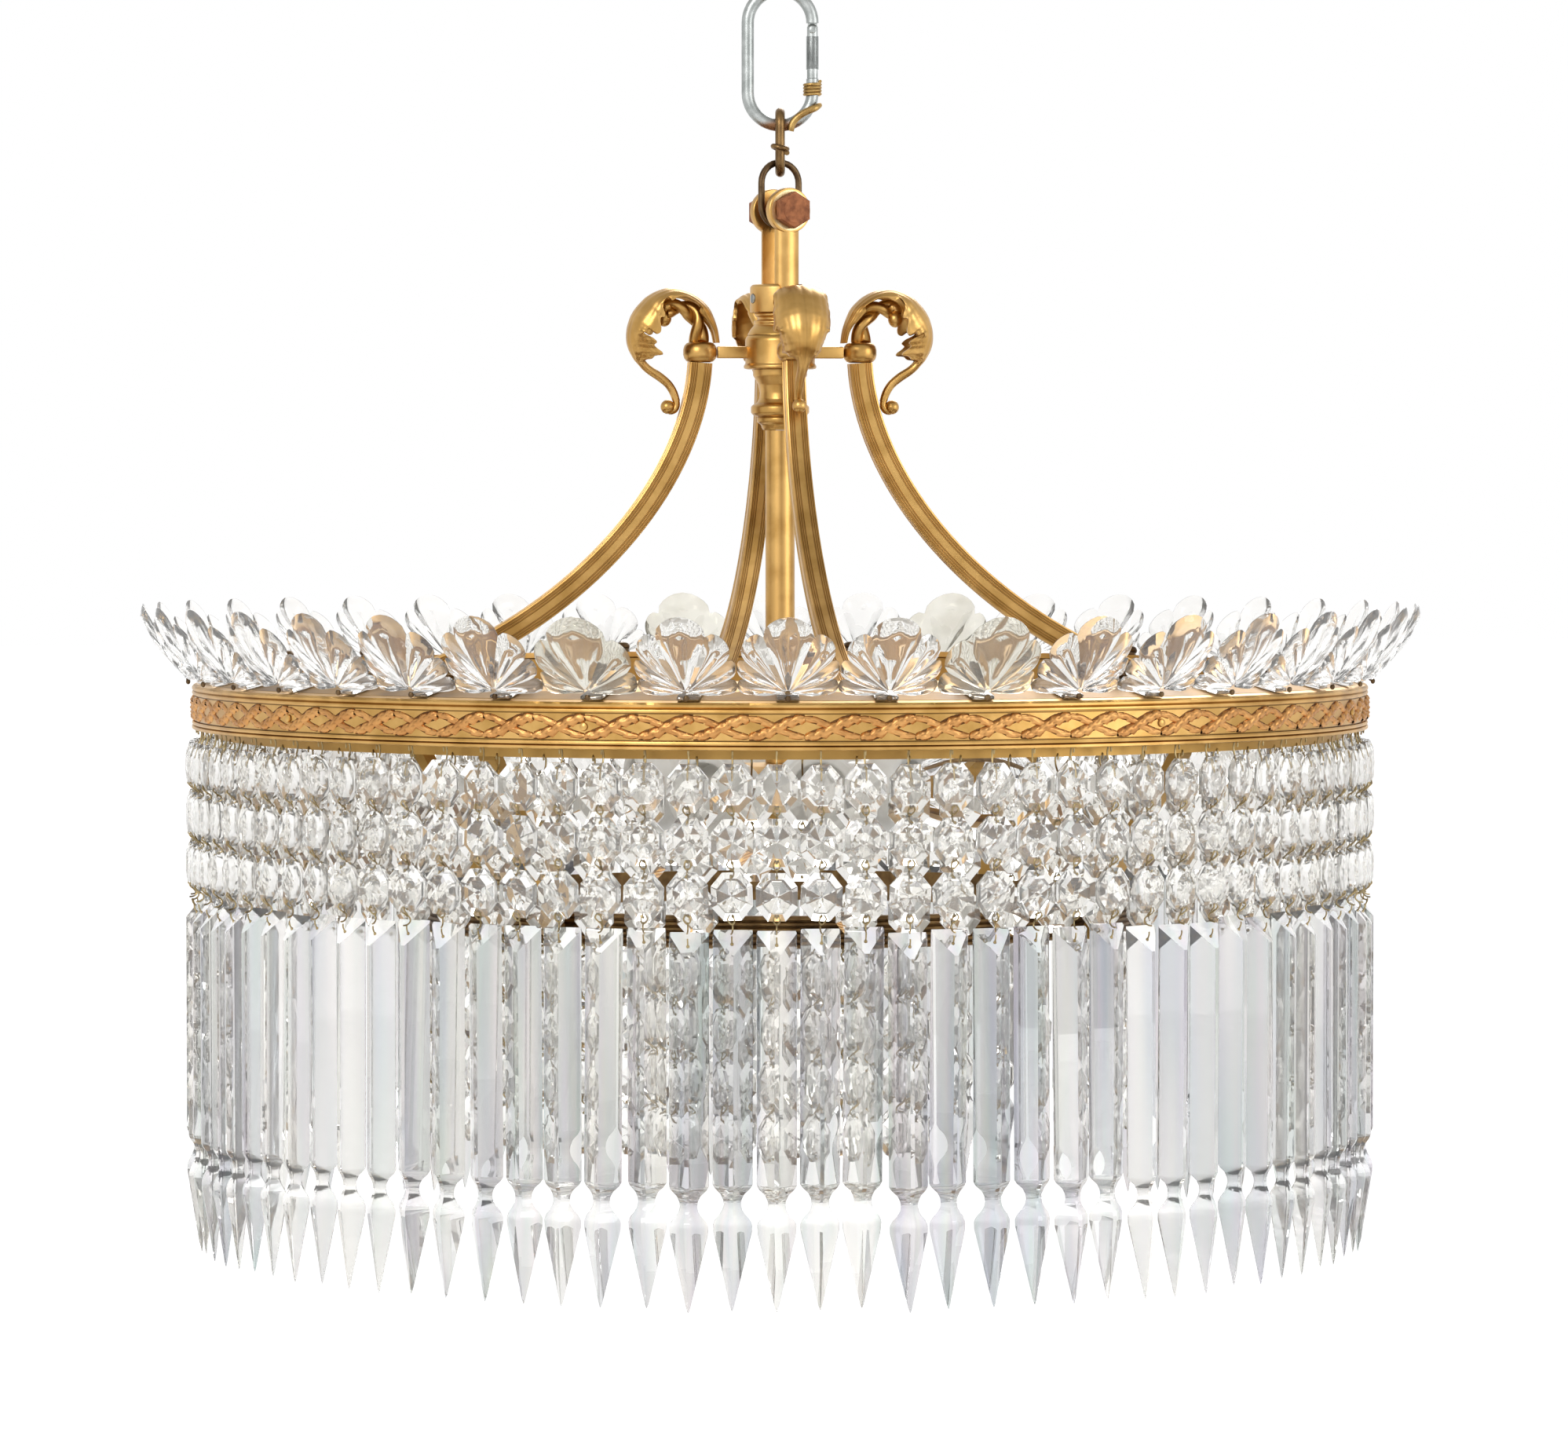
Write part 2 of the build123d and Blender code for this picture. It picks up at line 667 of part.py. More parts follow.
def scroll():
    """A leaf scroll: it rises from the collar, turns over, and ends in a small curl by the arm.

    Each station holds the way out from the arm's circle, the height over the collar, and the
    leaf's width and thickness as shares of the largest. The width goes in and out with the lobes.
    """
    shape = [
        (0.0, 0.0, 0.34, 0.9),
        (0.6, 9.0, 0.55, 0.9),
        (5.0, 16.6, 0.9, 1.0),
        (14.3, 20.3, 0.8, 1.0),
        (24.0, 16.5, 1.0, 1.0),
        (30.6, 7.5, 0.76, 0.85),
        (30.2, -4.5, 0.8, 0.7),
        (24.0, -15.0, 0.4, 0.55),
        (17.2, -24.0, 0.26, 0.45),
        (13.4, -29.5, 0.2, 0.4),
    ]
    low = hub_middle + arm_collar_height / 2 + seat_gap
    places = [(arm_circle + out, low + rise) for out, rise, *_ in shape]
    rings = []
    for i, (*_, wide, thick) in enumerate(shape):
        before, after = places[max(i - 1, 0)], places[min(i + 1, len(shape) - 1)]
        run = after[0] - before[0] if i else 0
        outline = leaf_points(wide * leaf_width, thick * leaf_thickness)
        rings.append(section(*places[i], run, after[1] - before[1], outline))
    radius = scroll_ball_dia / 2
    end, middle = places[-1][0] + radius / 2, places[-1][1] - radius / 2
    ball = turned(
        [(radius * 0.4, -radius), (radius, -radius / 2), (radius, radius / 2), (radius * 0.4, radius)],
        wire_flats,
    ).moved(Location((end, 0, middle)))
    return skin(rings).fuse(ball).solid()


# ---------------------------------------------------------------- glass shells
def shell():
    """A pressed glass shell, cupped up and outwards over the ring's edge.

    Each station holds the inset from the ring's edge, the height over it, the width and the lean
    of the glass there.
    """
    shape = [
        (19.0, 7.1, 14.0, (1.0, 0.1)),
        (4.0, 8.8, 37.5, (1.0, 0.3)),
        (-16.0, 19.5, 39.5, (0.8, 1.0)),
        (-25.5, 38.5, 14.0, (0.2, 1.0)),
    ]
    rings = [
        section(ring_radius - inset, rim_z + rise, *lean, oval_points(width, shell_thickness, 4))
        for inset, rise, width, lean in shape
    ]
    return skin(rings)


# ---------------------------------------------------------------- crystal strands
def octagon(height, radius=strand_radius):
    """An octagon cut to a point on its face and flat behind, set square to the ring's radius."""
    half_w, half_h = octagon_width / 2, octagon_height / 2
    side_w, side_h = half_w * octagon_side_share, half_h * octagon_side_share
    right = [(side_w, half_h), (half_w, side_h), (half_w, -side_h), (side_w, -half_h)]
    points = right + [(-across, up) for across, up in reversed(right)]
    girdle = [(radius, across, height + up) for across, up in points]
    return skin([girdle, [(radius + octagon_depth, 0, height)]])


def wire_between(high, low, radius=strand_radius):
    """The wire between two pieces of a strand, broad across at its top and inwards at its foot."""
    half = wire_dia / 2
    top, foot = high - wire_play, low + wire_play
    upper = [(radius, -half, top), (radius, half, top)]
    lower = [(radius - half, 0, foot), (radius + half, 0, foot)]
    return skin([upper, lower])


def strand_hook():
    return wire_between(band_low, octagon_z[0] + octagon_height / 2)


def strand_wires():
    """The wires under the octagons of one strand, the last of them down to the prism."""
    ends = [z + octagon_height / 2 for z in octagon_z[1:]] + [prism_seat]
    return [wire_between(z - octagon_height / 2, low) for z, low in zip(octagon_z, ends)]


def prism():
    """A three-sided bar with a sloping top facet, drawn in to a neck above a spear.

    Each level holds the way down from the prism's top and the width there. The flat side is the
    back, and the depth keeps its share of the width. The top is cut off aslant to the back edge.
    """
    back = strand_radius - prism_back
    neck = prism_bar_length + prism_taper_length
    shoulder = neck + spear_shoulder_length
    levels = [(prism_bar_length, prism_width), (neck, prism_neck_width), (shoulder, spear_width)]

    def corners(drops, width):
        depth = prism_depth * width / prism_width
        places = [(back, -width / 2), (back, width / 2), (back + depth, 0)]
        return [(x, y, prism_top - drop) for (x, y), drop in zip(places, drops)]

    top = corners((0, 0, prism_top_facet), prism_width)
    rings = [top] + [corners((drop,) * 3, width) for drop, width in levels]
    tip = (strand_radius, 0, prism_top - shoulder - spear_length)
    return skin([*rings, [tip]])


# ---------------------------------------------------------------- lamps and lower ring
def lamp_hub():
    """The turned box at the tube's lower end that the lampholders screw into."""
    half, radius = lamp_hub_height / 2, lamp_hub_dia / 2
    boss, edge = lamp_hub_boss_dia / 2, lamp_hub_edge
    low, high = lamp_z - half, lamp_z + half
    profile = [(boss, low - lamp_hub_boss_height), (boss, low), (radius - edge, low)]
    profile += [(radius, low + edge), (radius, high - edge), (radius - lamp_hub_slope, high)]
    profile += [(boss, rim_z - tube_below_rim - seat_gap)]
    return turned(profile, stem_flats).rotate(Axis.Z, lamp_turn)


def lampholder():
    """A holder with a narrow base, a wide mouth and a round well for the lamp's cap."""
    well = holder_mouth - holder_depth
    stations = [(holder_base, holder_base_dia), (well - holder_step, holder_base_dia)]
    stations += [(well, holder_mouth_dia), (holder_mouth, holder_mouth_dia)]
    bore = holder_mouth_dia - 2 * holder_wall
    hollow = level_bar([(well, bore), (holder_mouth + holder_step, bore)], lamp_z, wire_flats)
    return level_bar(stations, lamp_z, wire_flats).cut(hollow).solid()


def lamp():
    """The one lamp: its cap sits in the holder's well."""
    seat = holder_mouth - holder_depth + seat_gap
    shares = [(0.4, 0.9), (0.55, 1.0), (0.83, 0.86), (0.95, 0.5), (1.0, 0.12)]
    stations = [(seat, lamp_cap_dia), (holder_mouth, lamp_cap_dia)]
    stations += [(seat + lamp_length * along, lamp_dia * wide) for along, wide in shares]
    return level_bar(stations, lamp_z, small_flats)


def lower_ring():
    outer = lower_ring_dia / 2
    inner = outer - lower_ring_wall
    low, high = lower_ring_low, lower_ring_top
    return hoop([(inner, low), (outer, low), (outer, high), (inner, high)], lower_ring_flats)


def lower_bracket():
    """A curved bar from under the ring's floor, down and in to the lower ring."""
    top = (ring_radius - bracket_inset, floor_top - sheet - seat_gap)
    foot_radius = lower_ring_dia / 2 + bracket_depth / 2 + seat_gap
    foot = (foot_radius, lower_ring_low)
    out, up = bracket_pull_low
    pulls = [(top[0], top[1] - bracket_pull_high), (foot[0] + out, foot[1] + up)]
    outline = oval_points(bracket_width, bracket_depth, 4)
    rings = [section(*top, 0, -1, outline)]
    rings += curved_bar((top, foot), pulls, bracket_spans, outline)
    return skin([*rings, section(*foot, 0, -1, outline)])


def inner_chain_wires():
    """The wires of one chain, the first of them under the lower ring."""
    feet = [z + octagon_height / 2 for z in inner_chain_z]
    heads = [lower_ring_low] + [z - octagon_height / 2 for z in inner_chain_z[:-1]]
    return [wire_between(high, low, inner_chain_radius) for high, low in zip(heads, feet)]


# ---------------------------------------------------------------- write the nodes
strand_step = 360 / strand_count
swing_number = round(swing_strand_angle / strand_step) % strand_count


def strand_copies(solids):
    """Copies of a strand's solids at every place but the free strand's."""
    return [copy for solid in solids for copy in around(solid, strand_count, skip=(swing_number,))]


def swing_copies(solids):
    """The same solids at the free strand's place."""
    return [solid.rotate(Axis.Z, swing_number * strand_step) for solid in solids]


save("snap_hook_body", [snap_hook_body()])
save("snap_hook_gate", [snap_hook_gate()])
save("gate_rivet", [gate_rivet()])
save("nose_lashing", [nose_lashing()])
save("chain_link", [chain_link()])
save("oval_ring", [oval_ring()])

head_side_post = eyed_post()
save("eyed_post_front", [turn_bolt(head_side_post)])
save("eyed_post_back", [turn_bolt(head_side_post.mirror(Plane.YZ))])
save("suspension_bolt", [suspension_bolt()])
save("bolt_nut", [bolt_nut()])
save("suspension_collar", [suspension_collar()])
save("collar_grub_screws", collar_grub_screws())

save("neck_turning", [neck_turning()])
save("arm_hub", [arm_hub()])
save("stem_vase", [stem_vase()])
save("centre_tube", [centre_tube()])

save("rim_casting", [rim_casting()])
save("frieze_band", [frieze_band()])
save("ring_floor", [ring_floor()])
save("hook_strip", [hook_strip()])

channelled_arm, leaf_scroll = arm(), scroll()
for number, side in enumerate(("right", "back", "left", "front")):
    turn = 360 / arm_count * number
    save(f"arm_{side}", [channelled_arm.rotate(Axis.Z, turn)])
    save(f"scroll_{side}", [leaf_scroll.rotate(Axis.Z, turn)])
save("arm_collars", around(arm_collar(), arm_count))
save("arm_foot_screws", around(arm_foot_screw(), arm_count))

save("glass_shells", around(shell(), shell_count))

for row, height in enumerate(octagon_z):
    save(f"octagons_row_{row + 1}", strand_copies([octagon(height)]))
save("strand_hooks", strand_copies([strand_hook()]) + swing_copies([strand_hook()]))
save("strand_wires", strand_copies(strand_wires()))
save("spear_prisms", strand_copies([prism()]))
save("swing_octagons", swing_copies([octagon(height) for height in octagon_z]))
save("swing_wires", swing_copies(strand_wires()))
save("swing_prism", swing_copies([prism()]))

save("lamp_hub", [lamp_hub()])
save("lampholders", around(lampholder(), lamp_count, lamp_turn))
save("lamp", [lamp().rotate(Axis.Z, lamp_turn - 360 / lamp_count)])
save("lower_ring", [lower_ring()])
save("lower_brackets", around(lower_bracket(), arm_count, 180 / arm_count))
chain_octagons = [octagon(height, inner_chain_radius) for height in inner_chain_z]
save("lower_octagons", [c for one in chain_octagons for c in around(one, inner_chain_count)])
save("lower_chain_wires", [c for one in inner_chain_wires() for c in around(one, inner_chain_count)])
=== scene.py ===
import random
from math import atan2, copysign, cos, exp, hypot, pi, radians, sin

import bmesh
import bpy
from mathutils import Matrix, Vector


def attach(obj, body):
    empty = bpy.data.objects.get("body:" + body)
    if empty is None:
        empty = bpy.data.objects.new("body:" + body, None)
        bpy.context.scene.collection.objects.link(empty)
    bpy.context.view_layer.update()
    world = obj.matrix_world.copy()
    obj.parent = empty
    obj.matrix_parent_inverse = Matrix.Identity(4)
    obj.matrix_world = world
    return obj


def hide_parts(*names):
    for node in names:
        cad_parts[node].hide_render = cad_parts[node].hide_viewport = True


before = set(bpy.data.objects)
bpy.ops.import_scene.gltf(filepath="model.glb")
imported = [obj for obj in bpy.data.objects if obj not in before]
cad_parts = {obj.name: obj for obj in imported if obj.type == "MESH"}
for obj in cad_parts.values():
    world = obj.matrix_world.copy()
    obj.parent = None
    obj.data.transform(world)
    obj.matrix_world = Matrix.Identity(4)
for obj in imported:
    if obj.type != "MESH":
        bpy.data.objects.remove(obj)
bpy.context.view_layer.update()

# Looks of the crystal chandelier. Shapes are modelled in millimetres and degrees, in the frame of
# the CAD part, and are brought to metres when a piece is finished.
TAU = 2 * pi
MM = 0.001  # metres
draw = random.Random(7)

# ---------------- the part's own sizes and heights
CHAIN_TURN = -9.7
BOLT_TURN = -74.7
LAMP_TURN = 5.3
HOOK_WIRE, HOOK_BEND = 5.9, 15.4
HOOK_LOW, HOOK_HIGH = -45.75, -12.45  # middles of the hook's two bends
GATE_LOW, GATE_TOP = -38.85, -12.85
RIVET_Z, NOSE_TOP = -15.8, -39.15
TONGUE_X, TONGUE_Y = 2.25, 1.3  # half sizes of the tongues that the gate's cheeks clasp
LINK_WIDTH, LINK_WIRE = 17, 4.6
LOOP_WIDTH, LOOP_WIRE = 22.7, 3.2
LINK_HIGH, LINK_LOW = -55.1, -83.5
LOOP_HIGH, LOOP_LOW = -78.8, -109.1
BOLT_Z = -101.95
BOLT_DIA, HEX = 9.5, 15.2  # the bolt, and its head across the flats
EYE_HOLE, EYE = 4.85, 10.8  # radii of the posts' eyes
POST_INNER, POST_OUTER = 6.7, 11.3
COLLAR_TOP, COLLAR_LOW = -136.95, -150.45
GRUB_Z = -143.7
HUB_MIDDLE = -169.25
SCROLL_LOW = HUB_MIDDLE + 5  # the scrolls' foot
VASE_LOW = -206.15
RIM = -326.95
RING = 280
SHOULDER_IN = 248
FLOOR = -333.95
FRIEZE_TOP, FRIEZE_LOW = -331.55, -343.65
BAND_LOW = -347.55
FRIEZE_R = 279.3
STUD_R = 252.6
SHELLS = 40
STRANDS = 90
STRAND = 277  # from the axis to the hooks and prisms
OCTAGON_R = STRAND + 2.6
OCTAGON_Z = (-363.95, -387.65, -411.35)
OCTAGON_PITCH = 23.7
OCTAGON_SIZE = (18.2, 21)
OCTAGON_SIDES = 0.43  # straight sides' share of the width and height
PRISM_WIDTH, PRISM_DEPTH = 17.6, 9
PRISM_TOP = -426.45
LAMPS = 8
LAMP_Z = -376.95
ARM_CIRCLE = 38.7
SWING = 65  # number of the strand that is hung free


# ---------------- finishes
def new_material(name):
    material = bpy.data.materials.new(name)
    material.use_nodes = True
    return material, material.node_tree, material.node_tree.nodes["Principled BSDF"]


def feed(tree, node, feeds):
    """Sets inputs of the node to plain values or links them to other nodes' outputs."""
    for socket, source in feeds.items():
        if isinstance(source, bpy.types.NodeSocket):
            tree.links.new(source, node.inputs[socket])
        else:
            node.inputs[socket].default_value = source
    return node.outputs


def add_node(tree, kind, feeds):
    return feed(tree, tree.nodes.new("ShaderNode" + kind), feeds)


def calculate(tree, operation, *sources):
    node = tree.nodes.new("ShaderNodeMath")
    node.operation = operation
    return feed(tree, node, dict(enumerate(sources)))[0]


def mix_colours(tree, share, first, second, blend="MIX"):
    node = tree.nodes.new("ShaderNodeMix")
    node.data_type, node.blend_type = "RGBA", blend
    return feed(tree, node, {0: share, 6: first, 7: second})[2]


def noise_on(tree, scale, detail, stretch=(1, 1, 1)):
    """Noise on the piece's own coordinates."""
    place = add_node(tree, "TexCoord", {})["Object"]
    mapped = add_node(tree, "Mapping", {"Vector": place, "Scale": stretch})["Vector"]
    return add_node(tree, "TexNoise", {"Vector": mapped, "Scale": scale, "Detail": detail})


def ramp_from(tree, source, low, high, dark, light):
    """Colours from dark to light as the source goes from low to high."""
    ramp = tree.nodes.new("ShaderNodeValToRGB")
    first, last = ramp.color_ramp.elements
    first.position, last.position = low, high
    first.color, last.color = (*dark, 1), (*light, 1)
    return feed(tree, ramp, {"Fac": source})["Color"]


def metal(name, light, worn, painted_shade_and_stain, rough, scale=60, metallic=1, bump=0.05):
    """A metal whose colour wanders between two tones and goes dark by a point attribute, which holds
    painted shade in its recesses (with some patina) and, on the snap hook, a rust stain.
    """
    material, tree, shader = new_material(name)
    noise = noise_on(tree, scale, 6)["Fac"]
    tone = ramp_from(tree, noise, 0.38, 0.62, worn, light)
    painted_hollow_shade = tree.nodes.new("ShaderNodeAttribute")
    painted_hollow_shade.attribute_name = "painted_shade_and_stain"
    roughness = {"Value": noise, "To Min": rough - 0.07, "To Max": rough + 0.12}
    relief = {"Strength": bump, "Distance": 0.0004, "Height": noise_on(tree, scale * 12, 3)["Fac"]}
    feed(tree, shader, {
        "Base Color": mix_colours(tree, painted_hollow_shade.outputs["Fac"], tone, (*painted_shade_and_stain, 1)),
        "Roughness": add_node(tree, "MapRange", roughness)["Result"],
        "Metallic": metallic,
        "Normal": add_node(tree, "Bump", relief)["Normal"]})
    return material


def glass(name, tint, shade, rough, ior, scale, painted_rainbow=0.07, stretch=(1, 1, 1), cloud=0):
    """Clear glass with a faint wandering tint and painted spectral colours that stand for dispersion; cloud
    is its pale share.
    """
    material, tree, shader = new_material(name)
    tone = ramp_from(tree, noise_on(tree, scale, 2, stretch)["Fac"], 0.38, 0.62, shade, tint)
    colours = noise_on(tree, scale * 4, 1, stretch)["Color"]
    feed(tree, shader, {
        "Base Color": mix_colours(tree, painted_rainbow, tone, colours, "SOFT_LIGHT"),
        "Roughness": rough, "IOR": ior, "Transmission Weight": 1 - cloud})
    return material


def glaze(name, dark, light, rough):
    """A glaze whose tone wanders between two."""
    material, tree, shader = new_material(name)
    tone = ramp_from(tree, noise_on(tree, 40, 4)["Fac"], 0.4, 0.6, dark, light)
    feed(tree, shader, {"Base Color": tone, "Roughness": rough})
    return material


# the third colour of each metal is the painted shade, with some patina, that a marked piece takes on in its
# recesses
FINISHES = {
    "gilt_bronze": metal(
        "satin gilt bronze", (0.645, 0.395, 0.135), (0.48, 0.275, 0.08), (0.10, 0.05, 0.014), 0.33),
    "copper_gilt": metal(
        "coppery gilt", (0.64, 0.34, 0.12), (0.50, 0.24, 0.08), (0.09, 0.036, 0.011), 0.38, 90),
    "aged_brass": metal(
        "aged brass", (0.52, 0.32, 0.10), (0.40, 0.235, 0.07), (0.10, 0.05, 0.018), 0.42, 40),
    "dark_bronze": metal(
        "dark bronze", (0.17, 0.11, 0.055), (0.075, 0.045, 0.024), (0.02, 0.014, 0.008), 0.40, 120),
    "zinc_steel": metal(
        "zinc plated steel", (0.46, 0.48, 0.47), (0.33, 0.35, 0.34), (0.10, 0.10, 0.10), 0.36, 180),
    "rusty_steel": metal(
        "rusty steel", (0.44, 0.17, 0.07), (0.22, 0.075, 0.03), (0.08, 0.035, 0.015), 0.62, 260, 0.5, 0.35),
    "lashing_wire": metal(
        "lashing wire", (0.55, 0.36, 0.13), (0.30, 0.18, 0.06), (0.06, 0.035, 0.014), 0.38, 200),
    "crystal_wire": metal(
        "brass wire", (0.44, 0.34, 0.17), (0.26, 0.19, 0.09), (0.08, 0.055, 0.025), 0.34, 160),
    "crystal": glass("cut crystal", (1, 0.99, 0.965), (0.95, 0.94, 0.91), 0, 1.47, 25, cloud=0.10),
    "pressed_glass": glass(
        "pressed glass", (1, 0.995, 0.98), (0.95, 0.94, 0.92), 0.015, 1.42, 30, cloud=0.07),
    "lamp_glass": glass("lamp glass", (0.98, 0.98, 0.98), (0.95, 0.95, 0.95), 0.02, 1.2, 20),
    "ceramic": glaze("glazed ceramic", (0.62, 0.60, 0.55), (0.74, 0.73, 0.69), 0.28),
}
# looks that share a slot with another finish
LOOKS = {
    # the grey streaks running down the prisms are painted shade and reflection that stand for light bent
    # through the glass
    "prism_glass": glass(
        "prism glass", (0.985, 0.97, 0.935), (0.64, 0.65, 0.67), 0, 1.48, 46, 0.42, (1, 1, 0.05), 0.09),
    "cloudy_glass": glass(
        "cloudy glass", (0.93, 0.91, 0.83), (0.80, 0.77, 0.68), 0.05, 1.40, 60, cloud=0.13),
    # here the third colour is a rust stain on the lower bend of the snap hook
    "stained_zinc": metal(
        "stained zinc", (0.46, 0.48, 0.47), (0.33, 0.35, 0.34), (0.23, 0.115, 0.055), 0.36, 180),
    # the dark underlays of the frieze's leaves: painted shadow
    "leaf_shadow": metal(
        "painted leaf shadow gilt", (0.15, 0.07, 0.025), (0.10, 0.045, 0.018), (0.09, 0.04, 0.015), 0.5, 90),
    # the darker gilt on the shoulder's top is painted shade, where the glass shells shade it
    "painted_shade_shoulder": metal(
        "brown gilt with painted shade", (0.36, 0.215, 0.075), (0.20, 0.115, 0.04), (0.09, 0.05, 0.02), 0.45, 45),
    # a pale ring on each eye's face: partly wear, partly a painted highlight
    "gilt_wear_and_painted_highlight": metal("gilt wear and painted highlight", (0.80, 0.66, 0.38), (0.60, 0.45, 0.22), (0.2, 0.12, 0.05), 0.35, 200),
    "brown_binding": metal(
        "brown binding wire", (0.24, 0.145, 0.06), (0.12, 0.07, 0.03), (0.03, 0.02, 0.01), 0.36, 150),
}


# ---------------- ways of making a piece
def mesh_from(name, bm):
    mesh = bpy.data.meshes.new(name)
    bm.to_mesh(mesh)
    bm.free()
    return mesh


def put_in_scene(name, data):
    thing = bpy.data.objects.new(name, data)
    bpy.context.scene.collection.objects.link(thing)
    return thing


def mark_painted_hollow_shade(mesh, strength):
    """Stores on each point how far it lies in a recess of the piece, from 0 to 1: painted shade, with some
    patina.
    """
    bm = bmesh.new()
    bm.from_mesh(mesh)
    bmesh.ops.remove_doubles(bm, verts=bm.verts, dist=1e-7)
    bm.normal_update()
    found = {}
    for vert in bm.verts:
        sides = [(edge.other_vert(vert).co - vert.co) for edge in vert.link_edges]
        bend = sum(side.normalized().dot(vert.normal) for side in sides if side.length > 1e-7)
        found[vert.index] = bend / max(len(sides), 1)
    soft = {}
    for vert in bm.verts:
        near = [found[edge.other_vert(vert).index] for edge in vert.link_edges]
        soft[vert.index] = (found[vert.index] + sum(near)) / (1 + len(near))
    shades = [min(max(soft[v.index] * strength, 0), 1) for v in bm.verts]
    bm.to_mesh(mesh)
    bm.free()
    attribute = mesh.attributes.new("painted_shade_and_stain", "FLOAT", "POINT")
    attribute.data.foreach_set("value", shades)


def finish(name, bm, finish_name, *stands_for, body="frame", crease=32, painted_hollow_shade=0, facing=True,
           look=None, stain=None):
    """Brings a piece to metres, gives it its finish and lets it ride on its body, in place of the
    CAD nodes that it stands for."""
    bmesh.ops.remove_doubles(bm, verts=bm.verts, dist=1e-4)
    if facing:
        bmesh.ops.recalc_face_normals(bm, faces=bm.faces)
    bmesh.ops.scale(bm, vec=(MM, MM, MM), verts=bm.verts)
    mesh = mesh_from(name, bm)
    mesh.materials.append(LOOKS[look] if look else FINISHES[finish_name])
    # painted shade, with some patina, darkens the piece's recesses
    if painted_hollow_shade:
        mark_painted_hollow_shade(mesh, painted_hollow_shade)
    if stain:
        shades = mesh.attributes.new("painted_shade_and_stain", "FLOAT", "POINT")
        shades.data.foreach_set("value", [stain(vert.co / MM) for vert in mesh.vertices])
    mesh.polygons.foreach_set("use_smooth", [True] * len(mesh.polygons))
    mesh.set_sharp_from_angle(angle=radians(crease))
    piece = put_in_scene(name, mesh)
    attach(piece, body)
    if stands_for:
        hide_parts(*stands_for)
    return piece


def turn(degrees, axis="Z"):
    return Matrix.Rotation(radians(degrees), 4, axis)


def move(x, y, z):
    return Matrix.Translation((x, y, z))


def on_ring(degrees, radius, height):
    return turn(degrees) @ move(radius, 0, height)


def add_copies(target, bm, places):
    """Adds a copy of bm to the target at each place, and frees bm."""
    pattern = mesh_from("pattern", bm)
    for place in places:
        copy = pattern.copy()
        copy.transform(place)
        target.from_mesh(copy)
        bpy.data.meshes.remove(copy)
    bpy.data.meshes.remove(pattern)
    return target


def add(target, bm):
    return add_copies(target, bm, [Matrix.Identity(4)])


def copies(bm, places):
    return add_copies(bmesh.new(), bm, places)


def round_about(count, start=0, skip=()):
    return [turn(start + 360 / count * i) for i in range(count) if i not in skip]


def rounded(points, radius, steps=3, closed=False):
    """The outline with its corners rounded."""
    result = []
    count = len(points)
    for i, point in enumerate(points):
        if not closed and i in (0, count - 1):
            result.append(tuple(point))
            continue
        here = Vector(point)
        before, after = Vector(points[i - 1]), Vector(points[(i + 1) % count])
        back, ahead = before - here, after - here
        reach = min(radius, back.length * 0.48, ahead.length * 0.48)
        first, last = here + back.normalized() * reach, here + ahead.normalized() * reach
        for step in range(steps + 1):
            t = step / steps
            result.append(tuple(first * (1 - t) ** 2 + here * 2 * t * (1 - t) + last * t * t))
    return result


def through(points, spans):
    """A smooth curve through the tuples, with spans steps between two of them."""
    result = []
    last = len(points) - 1
    for i in range(last):
        around_here = (points[max(i - 1, 0)], points[i], points[i + 1], points[min(i + 2, last)])
        for step in range(spans):
            t = step / spans
            result.append(tuple(
                0.5 * (2 * b + (c - a) * t + (2 * a - 5 * b + 4 * c - d) * t * t
                       + (3 * b - a - 3 * c + d) * t ** 3)
                for a, b, c, d in zip(*around_here)))
    result.append(tuple(points[-1]))
    return result


def lathe(profile, steps=72, closed=False):
    """A piece turned about the Z axis from its (radius, height) outline."""
    bm = bmesh.new()
    verts = [bm.verts.new((radius, 0, height)) for radius, height in profile]
    pairs = list(zip(verts, verts[1:])) + ([(verts[-1], verts[0])] if closed else [])
    edges = [bm.edges.new(pair) for pair in pairs]
    bmesh.ops.spin(bm, geom=verts + edges, cent=(0, 0, 0), axis=(0, 0, 1), angle=TAU,
                   steps=steps, use_merge=True, use_duplicate=False)
    bmesh.ops.remove_doubles(bm, verts=bm.verts, dist=1e-4)
    bmesh.ops.recalc_face_normals(bm, faces=bm.faces)
    return bm


def sweep(bm, stations, capped=True):
    """Extrudes the first outline through the places of the others."""
    ring = [bm.verts.new(point) for point in stations[0]]
    edges = [bm.edges.new((ring[i - 1], ring[i])) for i in range(len(ring))]
    if capped:
        bmesh.ops.contextual_create(bm, geom=edges)
    for station in stations[1:]:
        grown = bmesh.ops.extrude_edge_only(bm, edges=edges)["geom"]
        fresh = {part for part in grown if isinstance(part, bmesh.types.BMVert)}
        ring = [next(edge.other_vert(vert) for edge in vert.link_edges
                     if edge.other_vert(vert) in fresh) for vert in ring]
        for vert, point in zip(ring, station):
            vert.co = point
        edges = [bm.edges.get((ring[i - 1], ring[i])) for i in range(len(ring))]
    if capped:
        bmesh.ops.contextual_create(bm, geom=edges)
    return bm


def tube(bm, path, radius, sides=10, up=None, closed=False):
    """A round wire along the path; radius may be a list."""
    path = [Vector(point) for point in path]
    count = len(path)
    stations = []
    normal = Vector(up) if up else None
    for i, point in enumerate(path):
        ahead = path[(i + 1) % count] if closed or i < count - 1 else point
        behind = path[i - 1] if closed or i else point
        way = (ahead - behind).normalized()
        if normal is None:
            normal = way.orthogonal()
        normal = (normal - way * normal.dot(way)).normalized()
        side = way.cross(normal)
        reach = radius[i] if isinstance(radius, (list, tuple)) else radius
        stations.append([point + normal * (reach * cos(TAU * k / sides))
                         + side * (reach * sin(TAU * k / sides)) for k in range(sides)])
    if closed:
        stations.append(stations[0])
    return sweep(bm, stations, capped=not closed)


